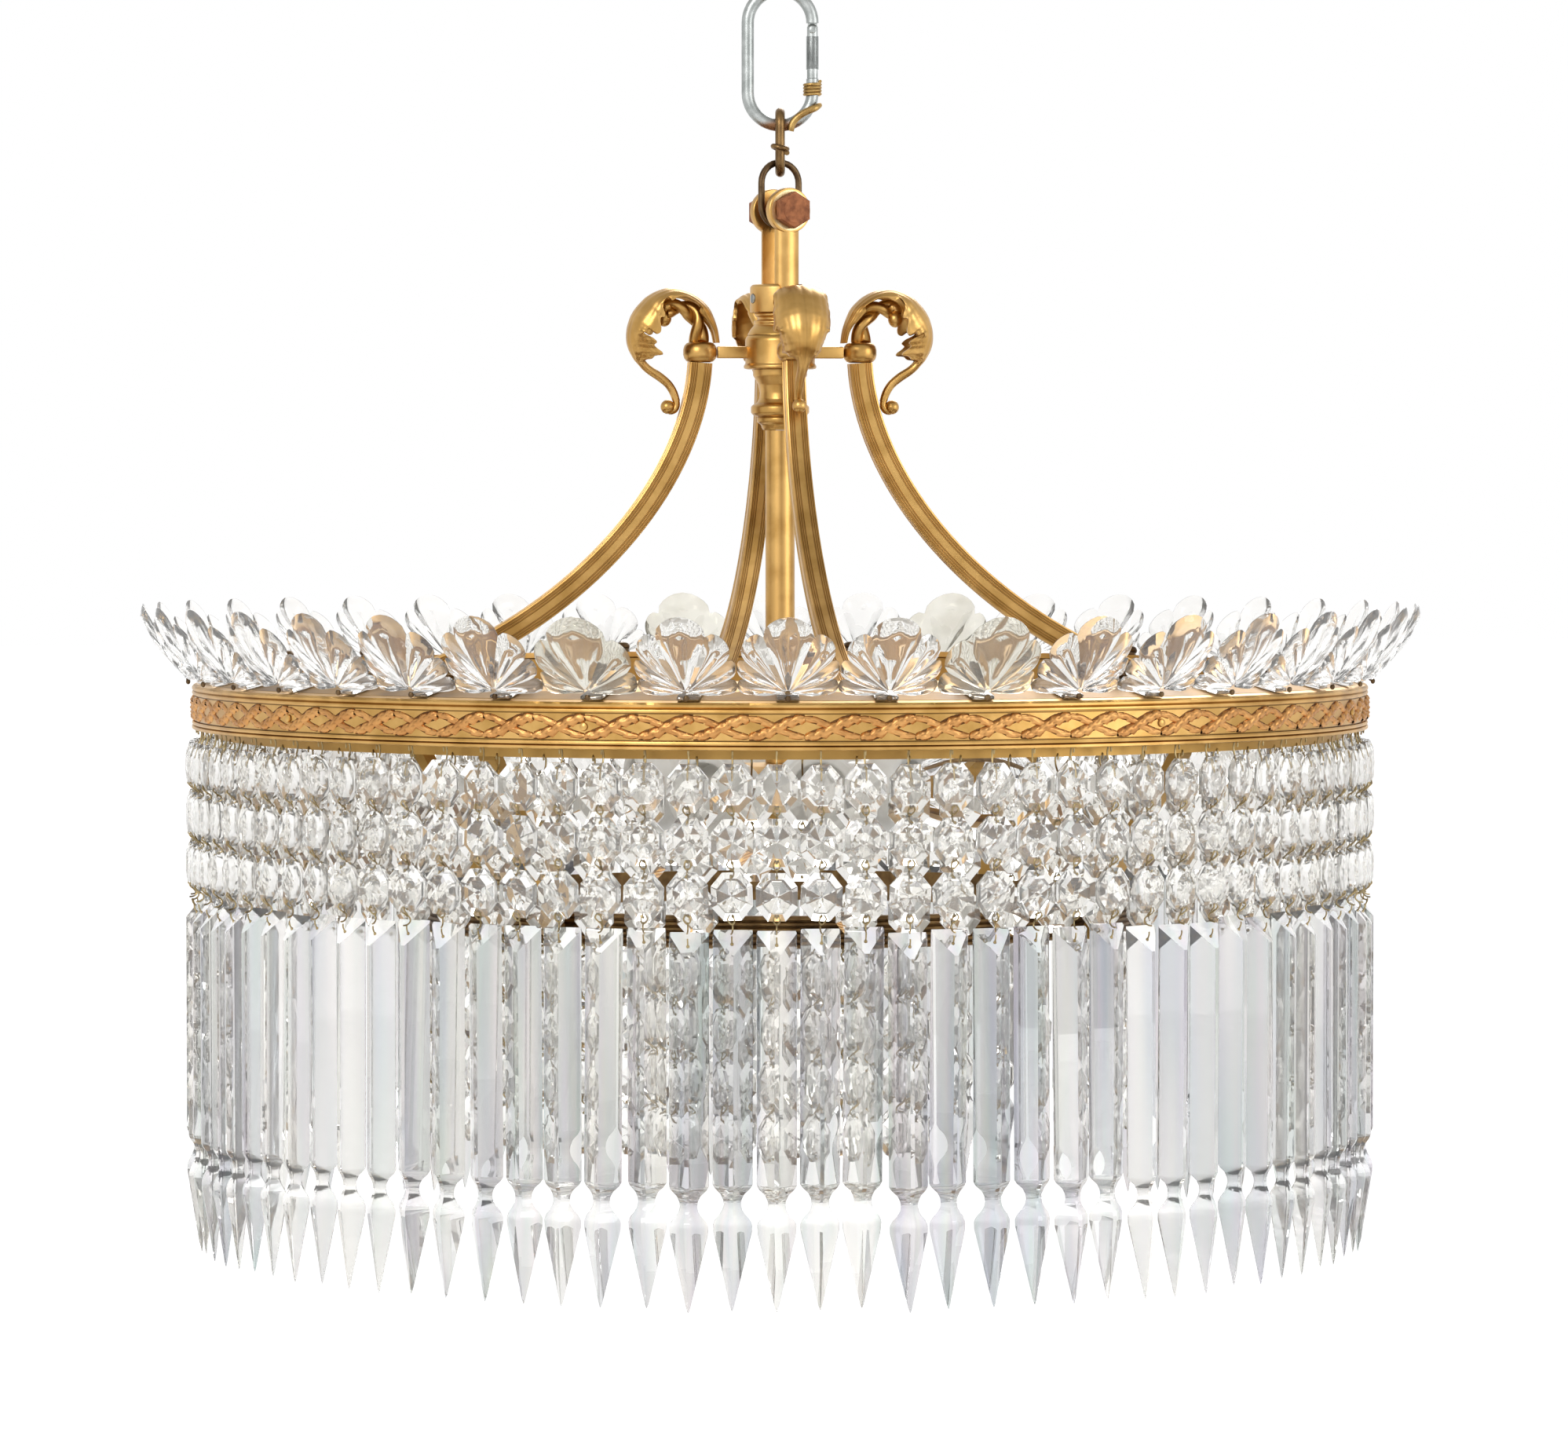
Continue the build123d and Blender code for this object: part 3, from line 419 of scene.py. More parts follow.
def rod(bm, dia, start, end, sides=20, dia_end=None, edge=0):
    """A straight round bar from start to end."""
    start, end = Vector(start), Vector(end)
    way = end - start
    place = Matrix.Translation((start + end) / 2) @ way.to_track_quat("Z", "Y").to_matrix().to_4x4()
    made = bmesh.ops.create_cone(
        bm, cap_ends=True, cap_tris=False, segments=sides, radius1=dia / 2,
        radius2=(dia if dia_end is None else dia_end) / 2, depth=way.length, matrix=place)
    if edge:
        rims = [e for e in {e for v in made["verts"] for e in v.link_edges}
                if abs((e.verts[0].co - e.verts[1].co).normalized().dot(way.normalized())) < 0.3]
        bmesh.ops.bevel(bm, geom=rims, offset=edge, segments=2, profile=0.5, affect="EDGES", material=-1)
    return bm


def block(bm, low, high, edge=0):
    """A box from its low corner to its high corner."""
    low, high = Vector(low), Vector(high)
    size = high - low
    place = Matrix.Translation((low + high) / 2) @ Matrix.Diagonal((*size, 1))
    made = bmesh.ops.create_cube(bm, size=1, matrix=place)
    if edge:
        edges = list({e for v in made["verts"] for e in v.link_edges})
        bmesh.ops.bevel(bm, geom=edges, offset=edge, segments=2, profile=0.5, affect="EDGES", material=-1)
    return bm


def ball(bm, dia, place, sides=16, squash=(1, 1, 1)):
    matrix = Matrix.Translation(place) @ Matrix.Diagonal((*squash, 1))
    bmesh.ops.create_uvsphere(bm, u_segments=sides, v_segments=sides // 2, radius=dia / 2, matrix=matrix)
    return bm


def turned_by(bm, *places):
    """Moves everything in bm by the places, the last first."""
    matrix = Matrix.Identity(4)
    for place in places:
        matrix = matrix @ place
    bmesh.ops.transform(bm, matrix=matrix, verts=bm.verts)
    return bm


def across(radius, height, run, rise, points):
    """An outline set across a bar in the XZ plane that runs towards (run, rise)."""
    length = hypot(run, rise)
    run, rise = run / length, rise / length
    return [Vector((radius - rise * y, x, height + run * y)) for x, y in points]


def cut_off(bm, place, inward):
    """Cuts away what lies behind a plane and closes the cut."""
    cut = bmesh.ops.bisect_plane(bm, geom=bm.verts[:] + bm.edges[:] + bm.faces[:],
                                 plane_co=place, plane_no=[-k for k in inward], clear_outer=True)
    rim = [part for part in cut["geom_cut"] if isinstance(part, bmesh.types.BMEdge)]
    bmesh.ops.contextual_create(bm, geom=rim)


def carve(piece, cutters):
    """Takes the cutters' shape away from a finished piece."""
    bmesh.ops.scale(cutters, vec=(MM, MM, MM), verts=cutters.verts)
    bmesh.ops.recalc_face_normals(cutters, faces=cutters.faces)
    tool = put_in_scene("cutters", mesh_from("cutters", cutters))
    cut = piece.modifiers.new("cut", "BOOLEAN")
    cut.operation, cut.solver, cut.object = "DIFFERENCE", "EXACT", tool
    depsgraph = bpy.context.evaluated_depsgraph_get()
    shaped = bpy.data.meshes.new_from_object(piece.evaluated_get(depsgraph))
    piece.modifiers.clear()
    old, piece.data = piece.data, shaped
    shaped.name = old.name
    bpy.data.meshes.remove(old)
    bpy.data.objects.remove(tool)
    shaped.set_sharp_from_angle(angle=radians(32))


# ---------------- hook, link and ring
def half_turn(radius, middle, first, last, steps=16):
    """Points of a bend of wire in the XZ plane."""
    angles = [radians(first + (last - first) * i / steps) for i in range(steps + 1)]
    return [(radius * cos(a), 0, middle + radius * sin(a)) for a in angles]


def oval_path(width, wire, high, low):
    radius = (width - wire) / 2
    return half_turn(radius, high - radius, 0, 180) + half_turn(radius, low + radius, 180, 360)


chain = turn(CHAIN_TURN)
body = bmesh.new()
path = [(HOOK_BEND, 0, NOSE_TOP)] + half_turn(HOOK_BEND, HOOK_LOW, 0, -180, 24)
path += half_turn(HOOK_BEND, HOOK_HIGH, 180, 0, 24) + [(HOOK_BEND, 0, GATE_TOP + 0.3)]
tube(body, path, HOOK_WIRE / 2, 16, up=(0, 1, 0))
block(body, (HOOK_BEND - TONGUE_X, -TONGUE_Y, NOSE_TOP - 0.3),
      (HOOK_BEND + TONGUE_X, TONGUE_Y, GATE_LOW + 3.7), 0.3)
block(body, (HOOK_BEND - TONGUE_X, -TONGUE_Y, RIVET_Z), (HOOK_BEND + TONGUE_X, TONGUE_Y, GATE_TOP + 0.6))
rod(body, 2 * TONGUE_X, (HOOK_BEND, -TONGUE_Y, RIVET_Z), (HOOK_BEND, TONGUE_Y, RIVET_Z), 20)
turned_by(body, chain)
finish("snap_hook_wire", body, "zinc_steel", "snap_hook_body", body="hook", look="stained_zinc",
       stain=lambda co: min(max((-57 - co.z - 0.25 * hypot(co.x, co.y)) / 2.5, 0), 1))

gate = bmesh.new()
rod(gate, HOOK_WIRE, (HOOK_BEND, 0, GATE_LOW + 4.1), (HOOK_BEND, 0, RIVET_Z - 3), 20, edge=0.25)
for side in (-1, 1):
    cheek = bmesh.new()
    rod(cheek, HOOK_WIRE, (HOOK_BEND, 0, GATE_LOW), (HOOK_BEND, 0, RIVET_Z + 1.2), 20)
    rod(cheek, HOOK_WIRE, (HOOK_BEND, 0, RIVET_Z + 1.2), (HOOK_BEND, 0, RIVET_Z + 2.75), 20, dia_end=3.2)
    bmesh.ops.remove_doubles(cheek, verts=cheek.verts, dist=1e-4)
    inside = [face for face in cheek.faces
              if len(face.verts) > 4 and abs(face.calc_center_median().z - RIVET_Z - 1.2) < 0.01]
    bmesh.ops.delete(cheek, geom=inside, context="FACES_ONLY")
    cut_off(cheek, (0, side * 1.45, 0), (0, side, 0))
    add(gate, cheek)
turned_by(gate, chain)
finish("snap_hook_gate_bar", gate, "zinc_steel", "snap_hook_gate", body="gate")

rivet = bmesh.new()
for side in (-1, 1):
    ball(rivet, 3.8, (HOOK_BEND, side * 2.95, RIVET_Z), 16, (1, 0.28, 1))
rod(rivet, 2.2, (HOOK_BEND, -2.9, RIVET_Z), (HOOK_BEND, 2.9, RIVET_Z), 12)
turned_by(rivet, chain)
finish("gate_rivet_heads", rivet, "zinc_steel", "gate_rivet", body="gate")

lashing = bmesh.new()
turns, pitch, steps = 4.1, 1.5, 20
path = []
for step in range(int(turns * steps) + 1):
    angle = TAU * step / steps
    path.append((HOOK_BEND + 3.75 * cos(angle), 3.75 * sin(angle),
                 NOSE_TOP - 1.6 - pitch * step / steps + 0.5 * cos(angle)))
tube(lashing, path, 0.78, 8)
# its thick end is led down across the hook's lower bend to the link
tail = through([(19, -1.6, -51.6), (16.6, -4.6, -53.2), (12.4, -5.3, -55), (8.6, -5.4, -57.4),
                (6, -5.2, -60.4), (4.9, -4.8, -64)], 6)
tube(lashing, tail, [1.2 + 0.5 * min(i / 6, 1) for i in range(len(tail))], 12)
turned_by(lashing, chain)
finish("nose_lashing_wire", lashing, "lashing_wire", "nose_lashing", body="hook")

link = bmesh.new()
tube(link, oval_path(LINK_WIDTH, LINK_WIRE, LINK_HIGH, LINK_LOW), LINK_WIRE / 2, 16, up=(0, 1, 0),
     closed=True)
turned_by(link, turn(CHAIN_TURN + 90))
finish("chain_link_wire", link, "dark_bronze", "chain_link", body="link", look="brown_binding")
binding = bmesh.new()
wrap = [(3.3 * cos(a), -6.2 + 3.3 * sin(a), -73.4 + 1.8 * a / TAU - 1.1 * cos(a))
        for a in (TAU * i / 24 for i in range(29))]
tube(binding, wrap, 1.25, 12)
turned_by(binding, chain)
finish("link_binding", binding, "lashing_wire", body="link", look="brown_binding")

loop = bmesh.new()
tube(loop, oval_path(LOOP_WIDTH, LOOP_WIRE, LOOP_HIGH, LOOP_LOW), LOOP_WIRE / 2, 14, up=(0, 1, 0),
     closed=True)
turned_by(loop, turn(BOLT_TURN + 90))
finish("oval_ring_wire", loop, "dark_bronze", "oval_ring", body="ring")


# ---------------- bolt, eyes and collar
bolt = turn(BOLT_TURN)


def upright(bm):
    """Lays a piece turned about Z along the X axis, at the bolt's height."""
    return turned_by(bm, move(0, 0, BOLT_Z), turn(90, "Y"))


for name, side in (("front", 1), ("back", -1)):
    eye = upright(lathe(rounded([(EYE_HOLE, POST_INNER), (EYE, POST_INNER), (EYE, POST_OUTER),
                                 (EYE_HOLE, POST_OUTER)], 0.9, 3, True), 64, True))
    angles = [pi * i / 16 for i in range(16, -1, -1)]
    bar = [(6 * cos(a), 7.7 + 3.6 * sin(a)) for a in angles]
    bar = [(-6, POST_INNER)] + bar + [(6, POST_INNER)]
    sweep(eye, [[(x, y, z) for y, x in bar] for z in (COLLAR_LOW + 0.2, -130, BOLT_Z - 7.5)])
    if side < 0:
        bmesh.ops.scale(eye, vec=(-1, 1, 1), verts=eye.verts)
    turned_by(eye, bolt)
    finish(f"eyed_post_{name}_turned", eye, "gilt_bronze", f"eyed_post_{name}", painted_hollow_shade=3)

head = bmesh.new()
rod(head, HEX / cos(pi / 6), (11.5, 0, BOLT_Z), (17.8, 0, BOLT_Z), 6, edge=0.7)
rod(head, 12.4, (17.6, 0, BOLT_Z), (18, 0, BOLT_Z), 24)
rod(head, BOLT_DIA, (-21.5, 0, BOLT_Z), (11.6, 0, BOLT_Z), 24, edge=0.4)
turned_by(head, bolt)
finish("suspension_bolt_forged", head, "rusty_steel", "suspension_bolt", crease=25)

nut = bmesh.new()
rod(nut, HEX / cos(pi / 6), (-19.5, 0, BOLT_Z), (-11.5, 0, BOLT_Z), 6, edge=0.8)
turned_by(nut, bolt)
finish("bolt_nut_forged", nut, "rusty_steel", "bolt_nut", crease=25)

# a pale ring on each eye's face around the bolt: partly wear, partly a painted highlight
worn = bmesh.new()
add_copies(worn, upright(lathe([(7.9, 11.3), (7.9, 11.42), (9.6, 11.42), (9.6, 11.3)], 48, True)), [bolt])
finish("eye_ring_wear_and_painted_highlight", worn, "gilt_bronze", look="gilt_wear_and_painted_highlight")

collar = lathe(rounded([(0, COLLAR_LOW + 0.2), (14.3, COLLAR_LOW + 0.2), (14.3, COLLAR_TOP - 1.2),
                        (13.1, COLLAR_TOP), (0, COLLAR_TOP)], 0.5, 3), 72)
turned_by(collar, bolt)
piece = finish("suspension_collar_turned", collar, "gilt_bronze", "suspension_collar")
notches = bmesh.new()
for side in (-1, 1):
    low, high = sorted((side * 6.5, side * 16))
    block(notches, (low, -6.2, COLLAR_LOW - 1), (high, 6.2, COLLAR_TOP + 1))
    low, high = sorted((side * 9.3, side * 15))
    rod(notches, 4.8, (0, low, GRUB_Z), (0, high, GRUB_Z), 24)
turned_by(notches, bolt)
carve(piece, notches)

grub = bmesh.new()
for side in (-1, 1):
    for half in (-1, 1):
        screw = bmesh.new()
        low, high = sorted((side * 9.5, side * 14.7))
        rod(screw, 4.4, (0, low, GRUB_Z), (0, high, GRUB_Z), 24, edge=0.2)
        cut_off(screw, (half * 0.4, 0, 0), (half, 0, 0))
        add(grub, screw)
    low, high = sorted((side * 9.6, side * 13.9))
    block(grub, (-0.45, low, -145.6), (0.45, high, -141.8))
turned_by(grub, bolt)
finish("collar_grub_screws_slotted", grub, "zinc_steel", "collar_grub_screws")


# ---------------- turned stem
def turned_stem(name, profile, stands_for, radius=0.5, steps=80):
    low, high = profile[0][1], profile[-1][1]
    outline = [(0, low)] + rounded(profile, radius) + [(0, high)]
    finish(name, lathe(outline, steps), "gilt_bronze", stands_for, painted_hollow_shade=2.2)


neck = [(15.5, -161.05), (15.3, -160.4), (14.2, -158.4), (13, -156.9), (12.2, -156.2), (12.4, -155.5),
        (12.7, -154.9), (12.4, -154.2), (10.9, -153.9), (10.6, -153.2), (10.9, -152.4), (12, -152),
        (12.2, -151.2), (11.8, -150.5)]
turned_stem("neck_turning_beads", neck, "neck_turning")

hub = [(15.8, -177.25), (17.2, -176.9), (17.4, -175.9), (17, -175.1), (16.6, -174.6), (16.6, -163.4),
       (16.2, -162.2), (15.4, -161.25)]
hub_bm = lathe([(0, -177.25)] + rounded(hub, 0.5) + [(0, -161.25)], 80)
lugs = bmesh.new()
block(lugs, (10, -3, HUB_MIDDLE - 2.8), (30.5, 3, HUB_MIDDLE + 2.8), 0.6)
add_copies(hub_bm, lugs, round_about(4))
finish("arm_hub_turned", hub_bm, "gilt_bronze", "arm_hub", painted_hollow_shade=2.2)

vase = [(8.1, -206.15), (8.6, -205.4), (9.2, -203.6), (11.1, -202.4), (11.2, -200.6), (10.6, -199.9),
        (12.8, -199.2), (13.9, -198), (13.9, -195.2), (13.1, -194.2), (11.2, -193.4), (10, -191.4),
        (9.7, -188.4), (10.4, -184.6), (12.2, -181.4), (12.9, -180.2), (12.9, -177.45)]
turned_stem("stem_vase_turned", vase, "stem_vase")
tube_outline = [(5.6, RIM - 38), (7, RIM - 38), (7, VASE_LOW - 0.2), (5.6, VASE_LOW - 0.2)]
finish("centre_tube_drawn", lathe(tube_outline, 48, True), "gilt_bronze", "centre_tube")

# ---------------- arms, collars and scrolls
upper_half = [(8, 1.2), (7.5, 3), (6.4, 4.3), (5, 4.8), (0, 4.8)]
arm_collar = [(radius, -height) for radius, height in reversed(upper_half)] + upper_half
bead = turned_by(lathe(arm_collar, 48), move(ARM_CIRCLE, 0, HUB_MIDDLE))
finish("arm_collar_beads", copies(bead, round_about(4)), "gilt_bronze", "arm_collars", crease=40)


def reeded(width, depth, grooves, sunk):
    """Outline of a bar with grooves down each side, at shares of the side's half width."""
    corners = [(-width, -depth), (width, -depth), (width, depth), (-width, depth)]
    outward = [(0, -1), (1, 0), (0, 1), (-1, 0)]
    points = []
    for i, (x0, y0) in enumerate(corners):
        x1, y1 = corners[(i + 1) % 4]
        points.append((x0 / 2 * 0.96, y0 / 2 * 0.96))
        for share in grooves:
            for shift, drop in ((-0.075, 0), (-0.03, sunk), (0.03, sunk), (0.075, 0)):
                t = (share + shift + 1) / 2
                points.append(((x0 + (x1 - x0) * t) / 2 - outward[i][0] * drop,
                               (y0 + (y1 - y0) * t) / 2 - outward[i][1] * drop))
    return points


def bezier(a, b, c, d, t):
    s = 1 - t
    return [s**3 * p + 3 * s * s * t * q + 3 * s * t * t * r + t**3 * u for p, q, r, u in zip(a, b, c, d)]


ARM_TOP, ARM_FOOT = (ARM_CIRCLE, HUB_MIDDLE - 5), (190, FLOOR + 5.6)
ARM_PULLS = ((42, RIM + 92), (102, RIM + 25))
arm = bmesh.new()
outline = reeded(9.6, 10.8, (-0.78, -0.58, -0.37, 0.37, 0.58, 0.78), 0.42)
stations = []
for i in range(37):
    t = i / 36
    here = bezier(ARM_TOP, *ARM_PULLS, ARM_FOOT, t)
    ahead, behind = (bezier(ARM_TOP, *ARM_PULLS, ARM_FOOT, min(max(t + s, 0), 1)) for s in (0.01, -0.01))
    stations.append(across(*here, ahead[0] - behind[0], ahead[1] - behind[1], outline))
stations.append(across(201, ARM_FOOT[1], 1, 0, outline))
sweep(arm, stations)
arm_mesh = mesh_from("arm_pattern", arm)

# The leaf as ribs from its smooth back to its lobed front edge: way out from the arm's circle and
# height over the collar at both ends, then the leaf's width. Rib ends alternate tips and notches.
LEAF = [
    (-9.2, -0.5, -7, -0.5, 9), (-8.4, 5, -6, 4.5, 11), (-7.2, 9.1, -4, 8.2, 13.5),
    (-5.9, 12.5, -1.3, 11.2, 15.5), (-4.8, 14.8, 1.2, 14.4, 17), (-3.6, 16.6, 1, 15.9, 18),
    (-2, 18.4, 1.2, 17.2, 19), (1.2, 21.2, 4.4, 19.2, 20), (5.5, 23.6, 8.3, 20.9, 21.5),
    (9.5, 24.9, 12.2, 20.7, 22.5), (12.4, 25.4, 14.8, 19.4, 23), (14.6, 25.4, 16, 20.2, 23.5),
    (16.8, 25.1, 17.4, 20.8, 24), (19.4, 24.3, 19.2, 18.8, 24.5), (22.2, 23.1, 19.6, 16, 25),
    (24.6, 21.7, 18.8, 13.4, 25.5), (26.4, 20.4, 18.9, 11.6, 25.5), (28.1, 18.7, 20.7, 11.4, 26),
    (29.8, 16.9, 21, 9.2, 26), (31.4, 14.9, 20.6, 6.4, 26), (32.4, 13.2, 21, 4.2, 25.5),
    (33.2, 11.7, 22.8, 3.4, 25), (34, 9.4, 25, 4.9, 24), (34.6, 7.4, 26.4, 3.4, 23),
    (34.9, 6, 29, 4.4, 22.5), (35.1, 4.4, 27.6, 3.2, 22), (35.2, 2.8, 24.2, 1.6, 21),
    (35.2, 1.2, 22.2, -0.4, 20), (35, -0.8, 23.4, -1.8, 19), (34.6, -2.4, 21.8, -3.4, 18),
    (34.1, -3.9, 19.6, -5, 17), (33.5, -5.2, 19.4, -6.4, 16), (32.9, -6.3, 22.6, -6.8, 14.5),
    (32.2, -7.5, 24, -8.2, 12.5), (31.3, -8.9, 26.2, -8.6, 9.5), (29.6, -11, 26.4, -9.2, 6.4),
    (27.5, -13.4, 24.4, -11.2, 5.2), (24.8, -15.6, 22, -12.9, 4.8), (22.2, -17.3, 19.6, -14.3, 4.5),
    (19.6, -19.1, 16.9, -16.3, 4.3), (16.9, -21.3, 14, -19, 4.1), (15.2, -23.6, 12, -21.9, 4),
    (14, -26, 10.7, -24.8, 3.8), (13.2, -28.3, 9.8, -28.1, 3.7)]
STEM_STARTS = 35
LEAF_SKIN = 1.4


def leaf_rib(out, rise, in_out, in_rise, wide, mean_out, mean_rise, veins, last, swell):
    """Outline across the leaf at one rib: a sheet folded inward at both edges, finely veined."""
    base = Vector((ARM_CIRCLE, 0, SCROLL_LOW))
    back, edge = base + Vector((out, 0, rise)), base + Vector((in_out, 0, in_rise))
    mean = base + Vector((mean_out, 0, mean_rise))
    inward = (mean - back).normalized()
    fold = (mean - back).length / (1 - cos(last))
    outer, inner = [], []
    for i in range(57):
        a = last * (1 - i / 28)
        vein = veins * 0.26 * abs(sin(pi * 4.5 * a / last)) ** 0.7
        frill = (edge - mean) * (max(0, abs(a) / last - 0.5) / 0.5) ** 2
        lift = swell * max(0, abs(a) / last - 0.45) / 0.55
        side = (wide / 2 + vein) * sin(a) + copysign(lift, a) * (abs(a) > 1e-6)
        depth = fold * (1 - cos(a)) - vein * cos(a)
        outer.append(back + inward * depth + Vector((0, side, 0)) + frill)
        half, less = max(wide / 2 - LEAF_SKIN, wide * 0.1), max(fold - LEAF_SKIN * 0.8, fold * 0.3)
        side = half * sin(a) + copysign(lift, a) * (abs(a) > 1e-6)
        inner.append(back + inward * (LEAF_SKIN + less * (1 - cos(a))) + Vector((0, side, 0)) + frill)
    return outer + inner[::-1]


scroll = bmesh.new()
ribs = []
for i, rib in enumerate(LEAF):
    near = LEAF[max(i - 3, 0):i + 4] if 3 < i < STEM_STARTS - 2 else [rib]
    mean_out, mean_rise = (sum(other[k] for other in near) / len(near) for k in (2, 3))
    out, rise, in_out, in_rise, wide = rib
    swell = 0.2 * (hypot(in_out - out, in_rise - rise) - hypot(mean_out - out, mean_rise - rise))
    veins, last = (0.35, 2.75) if i >= STEM_STARTS else (1, 1.72 + 0.1 * (wide < 14))
    ribs.append((*rib, mean_out, mean_rise, veins, last, swell))
sweep(scroll, [leaf_rib(*rib) for rib in through(ribs, 3)])
# the core under the leaf: two stalks twisted together that end in a bud
core = through([(0.6, -0.6), (0.4, 6), (2, 11.2), (5.4, 15), (10, 16.4), (14.4, 16), (17, 13.6)], 7)
for twin in (0, 1):
    path = []
    for i, (out, rise) in enumerate(core):
        twist = pi * twin + 1.1 + 0.19 * i
        before, after = core[max(i - 1, 0)], core[min(i + 1, len(core) - 1)]
        length = hypot(after[0] - before[0], after[1] - before[1])
        run, climb = (after[0] - before[0]) / length, (after[1] - before[1]) / length
        aside, over = 2.1 * cos(twist), 2.1 * sin(twist)
        path.append((ARM_CIRCLE + out - climb * over, aside, SCROLL_LOW + rise + run * over))
    tube(scroll, path, [2.75 - 0.35 * i / len(core) for i in range(len(core))], 14)
ball(scroll, 7, (ARM_CIRCLE + 17.2, 0, SCROLL_LOW + 11), 20, (1, 1, 1.12))
ball(scroll, 6.4, (ARM_CIRCLE + 16.2, 0, SCROLL_LOW + 16.6), 18)
# the thin stem's curl, which ends in a ball by the arm
curl = through([(11.6, -27.6), (11.3, -30.2), (12.3, -32.3), (14.4, -33), (15.6, -31.6)], 6)
tube(scroll, [(ARM_CIRCLE + out, 0, SCROLL_LOW + rise) for out, rise in curl], 1.65, 14)
ball(scroll, 6.8, (ARM_CIRCLE + 15.6, 0, SCROLL_LOW - 31), 24)
scroll_mesh = mesh_from("scroll_pattern", scroll)
for number, side in enumerate(("right", "back", "left", "front")):
    for kind, word, pattern, crease, strength in (("arm", "reeded", arm_mesh, 40, 2.2),
                                                  ("scroll", "leaf", scroll_mesh, 55, 4)):
        bm = bmesh.new()
        bm.from_mesh(pattern)
        turned_by(bm, turn(90 * number))
        finish(f"{kind}_{side}_{word}", bm, "gilt_bronze", f"{kind}_{side}", crease=crease,
               painted_hollow_shade=strength)

screw = lathe([(0, 0), (2.6, 0), (2.6, 0.8), (1.9, 1.6), (0, 1.9)], 20)
turned_by(screw, move(195.5, 0, FLOOR + 11.2))
finish("arm_foot_screw_heads", copies(screw, round_about(4)), "dark_bronze", "arm_foot_screws")

# ---------------- ring
def shoulder_top(radius):
    return RIM + 8.6 * (RING - radius) / 32


casting = [(SHOULDER_IN, shoulder_top(SHOULDER_IN)), (250, shoulder_top(250) + 0.25),
           (276.6, shoulder_top(276.6)), (279.2, RIM + 0.1), (280, RIM - 0.9), (280, RIM - 1.9),
           (279.3, RIM - 2.5), (279.9, RIM - 3), (280, RIM - 3.7), (279.6, RIM - 4.4),
           (278.4, FRIEZE_TOP), (278.4, FRIEZE_LOW), (279.7, FRIEZE_LOW - 0.25), (280, FRIEZE_LOW - 1),
           (279.7, FRIEZE_LOW - 1.7), (279, FRIEZE_LOW - 2), (280, FRIEZE_LOW - 2.5),
           (280, BAND_LOW + 0.3), (279.6, BAND_LOW), (276, BAND_LOW), (276, RIM - 2),
           (SHOULDER_IN, RIM + 6)]
finish("rim_casting_turned", lathe(casting, 240, True), "gilt_bronze", "rim_casting", crease=30,
       painted_hollow_shade=3)
# a thin sheet of darker gilt over the shoulder's top: painted shade from the glass shells
shoulder = [(252, shoulder_top(252) + 0.02), (276.4, shoulder_top(276.4) + 0.02),
            (276.4, shoulder_top(276.4) + 0.12), (252, shoulder_top(252) + 0.12)]
finish("shoulder_painted_shade_top", lathe(shoulder, 160, True), "gilt_bronze", look="painted_shade_shoulder")

# the frieze: a ground with leaves crossing on it, leaning to one side and the other
ground = lathe([(278.6, FRIEZE_LOW + 0.4), (279.1, FRIEZE_LOW + 0.4), (279.1, FRIEZE_TOP - 0.4),
                (278.6, FRIEZE_TOP - 0.4)], 240, True)
REPEATS = 72
UNIT = TAU * FRIEZE_R / REPEATS
FRIEZE_MIDDLE = (FRIEZE_TOP + FRIEZE_LOW) / 2


def frieze_strand(rising, half_width, relief, swing, lobes, fine=30):
    """One leafy strand of the plait, wrapped on the band, across one unit of its length."""
    bm = bmesh.new()
    bmesh.ops.create_grid(bm, x_segments=fine, y_segments=8, size=1)
    way = 1 if rising else -1
    for vert in bm.verts:
        along, side = vert.co.x / 2, vert.co.y
        middle = way * swing * sin(pi * along)
        slope = way * swing * pi / UNIT * cos(pi * along)
        leaflet = (along * lobes + 0.45 * (side > 0)) % 1
        narrowed = 1 - 0.35 * max(0, abs(along) - 0.38) / 0.12
        width = half_width * (1.15 - 0.62 * lobes / 5 * leaflet ** 1.3) * narrowed
        steep = hypot(1, slope)
        lean = way * 0.9 * side * side * (1 - leaflet)
        s, z = along * UNIT + lean - side * width * slope / steep, middle + side * width / steep
        edge = 1 - side * side
        beads = 0.34 * (0.5 + 0.5 * cos(TAU * 11 * along)) * exp(-(side / 0.3) ** 2)
        veins = 0.22 * cos(TAU * (along * lobes - abs(side) * 0.8 + 0.45 * (side > 0)))
        height = relief * edge ** 0.5 + (veins + beads) * min(1, edge * 2) * relief
        angle = s / FRIEZE_R
        radius = 279 + max(height, -0.2)
        z = min(max(z, -5.7), 5.7)  # inside the frieze's edges
        vert.co = Vector((radius * cos(angle), radius * sin(angle), FRIEZE_MIDDLE + z))
    return bm


leaves = bmesh.new()
add_copies(leaves, frieze_strand(False, 1.65, 0.75, 4, 4), round_about(REPEATS))
add_copies(leaves, frieze_strand(True, 2.55, 1.35, 4, 5), round_about(REPEATS))
# wider dark strands under the leaves: painted shadows on the frieze's ground
shadows = bmesh.new()
add_copies(shadows, frieze_strand(False, 1.95, 0.14, 4, 0.6, 14), round_about(REPEATS))
add_copies(shadows, frieze_strand(True, 2.9, 0.16, 4, 0.6, 14), round_about(REPEATS))
finish("frieze_leaf_shadows", shadows, "copper_gilt", crease=60, facing=False, look="leaf_shadow")
finish("frieze_ground", ground, "gilt_bronze", "frieze_band", crease=30)
finish("frieze_leaves", leaves, "copper_gilt", crease=60, painted_hollow_shade=5, facing=False)

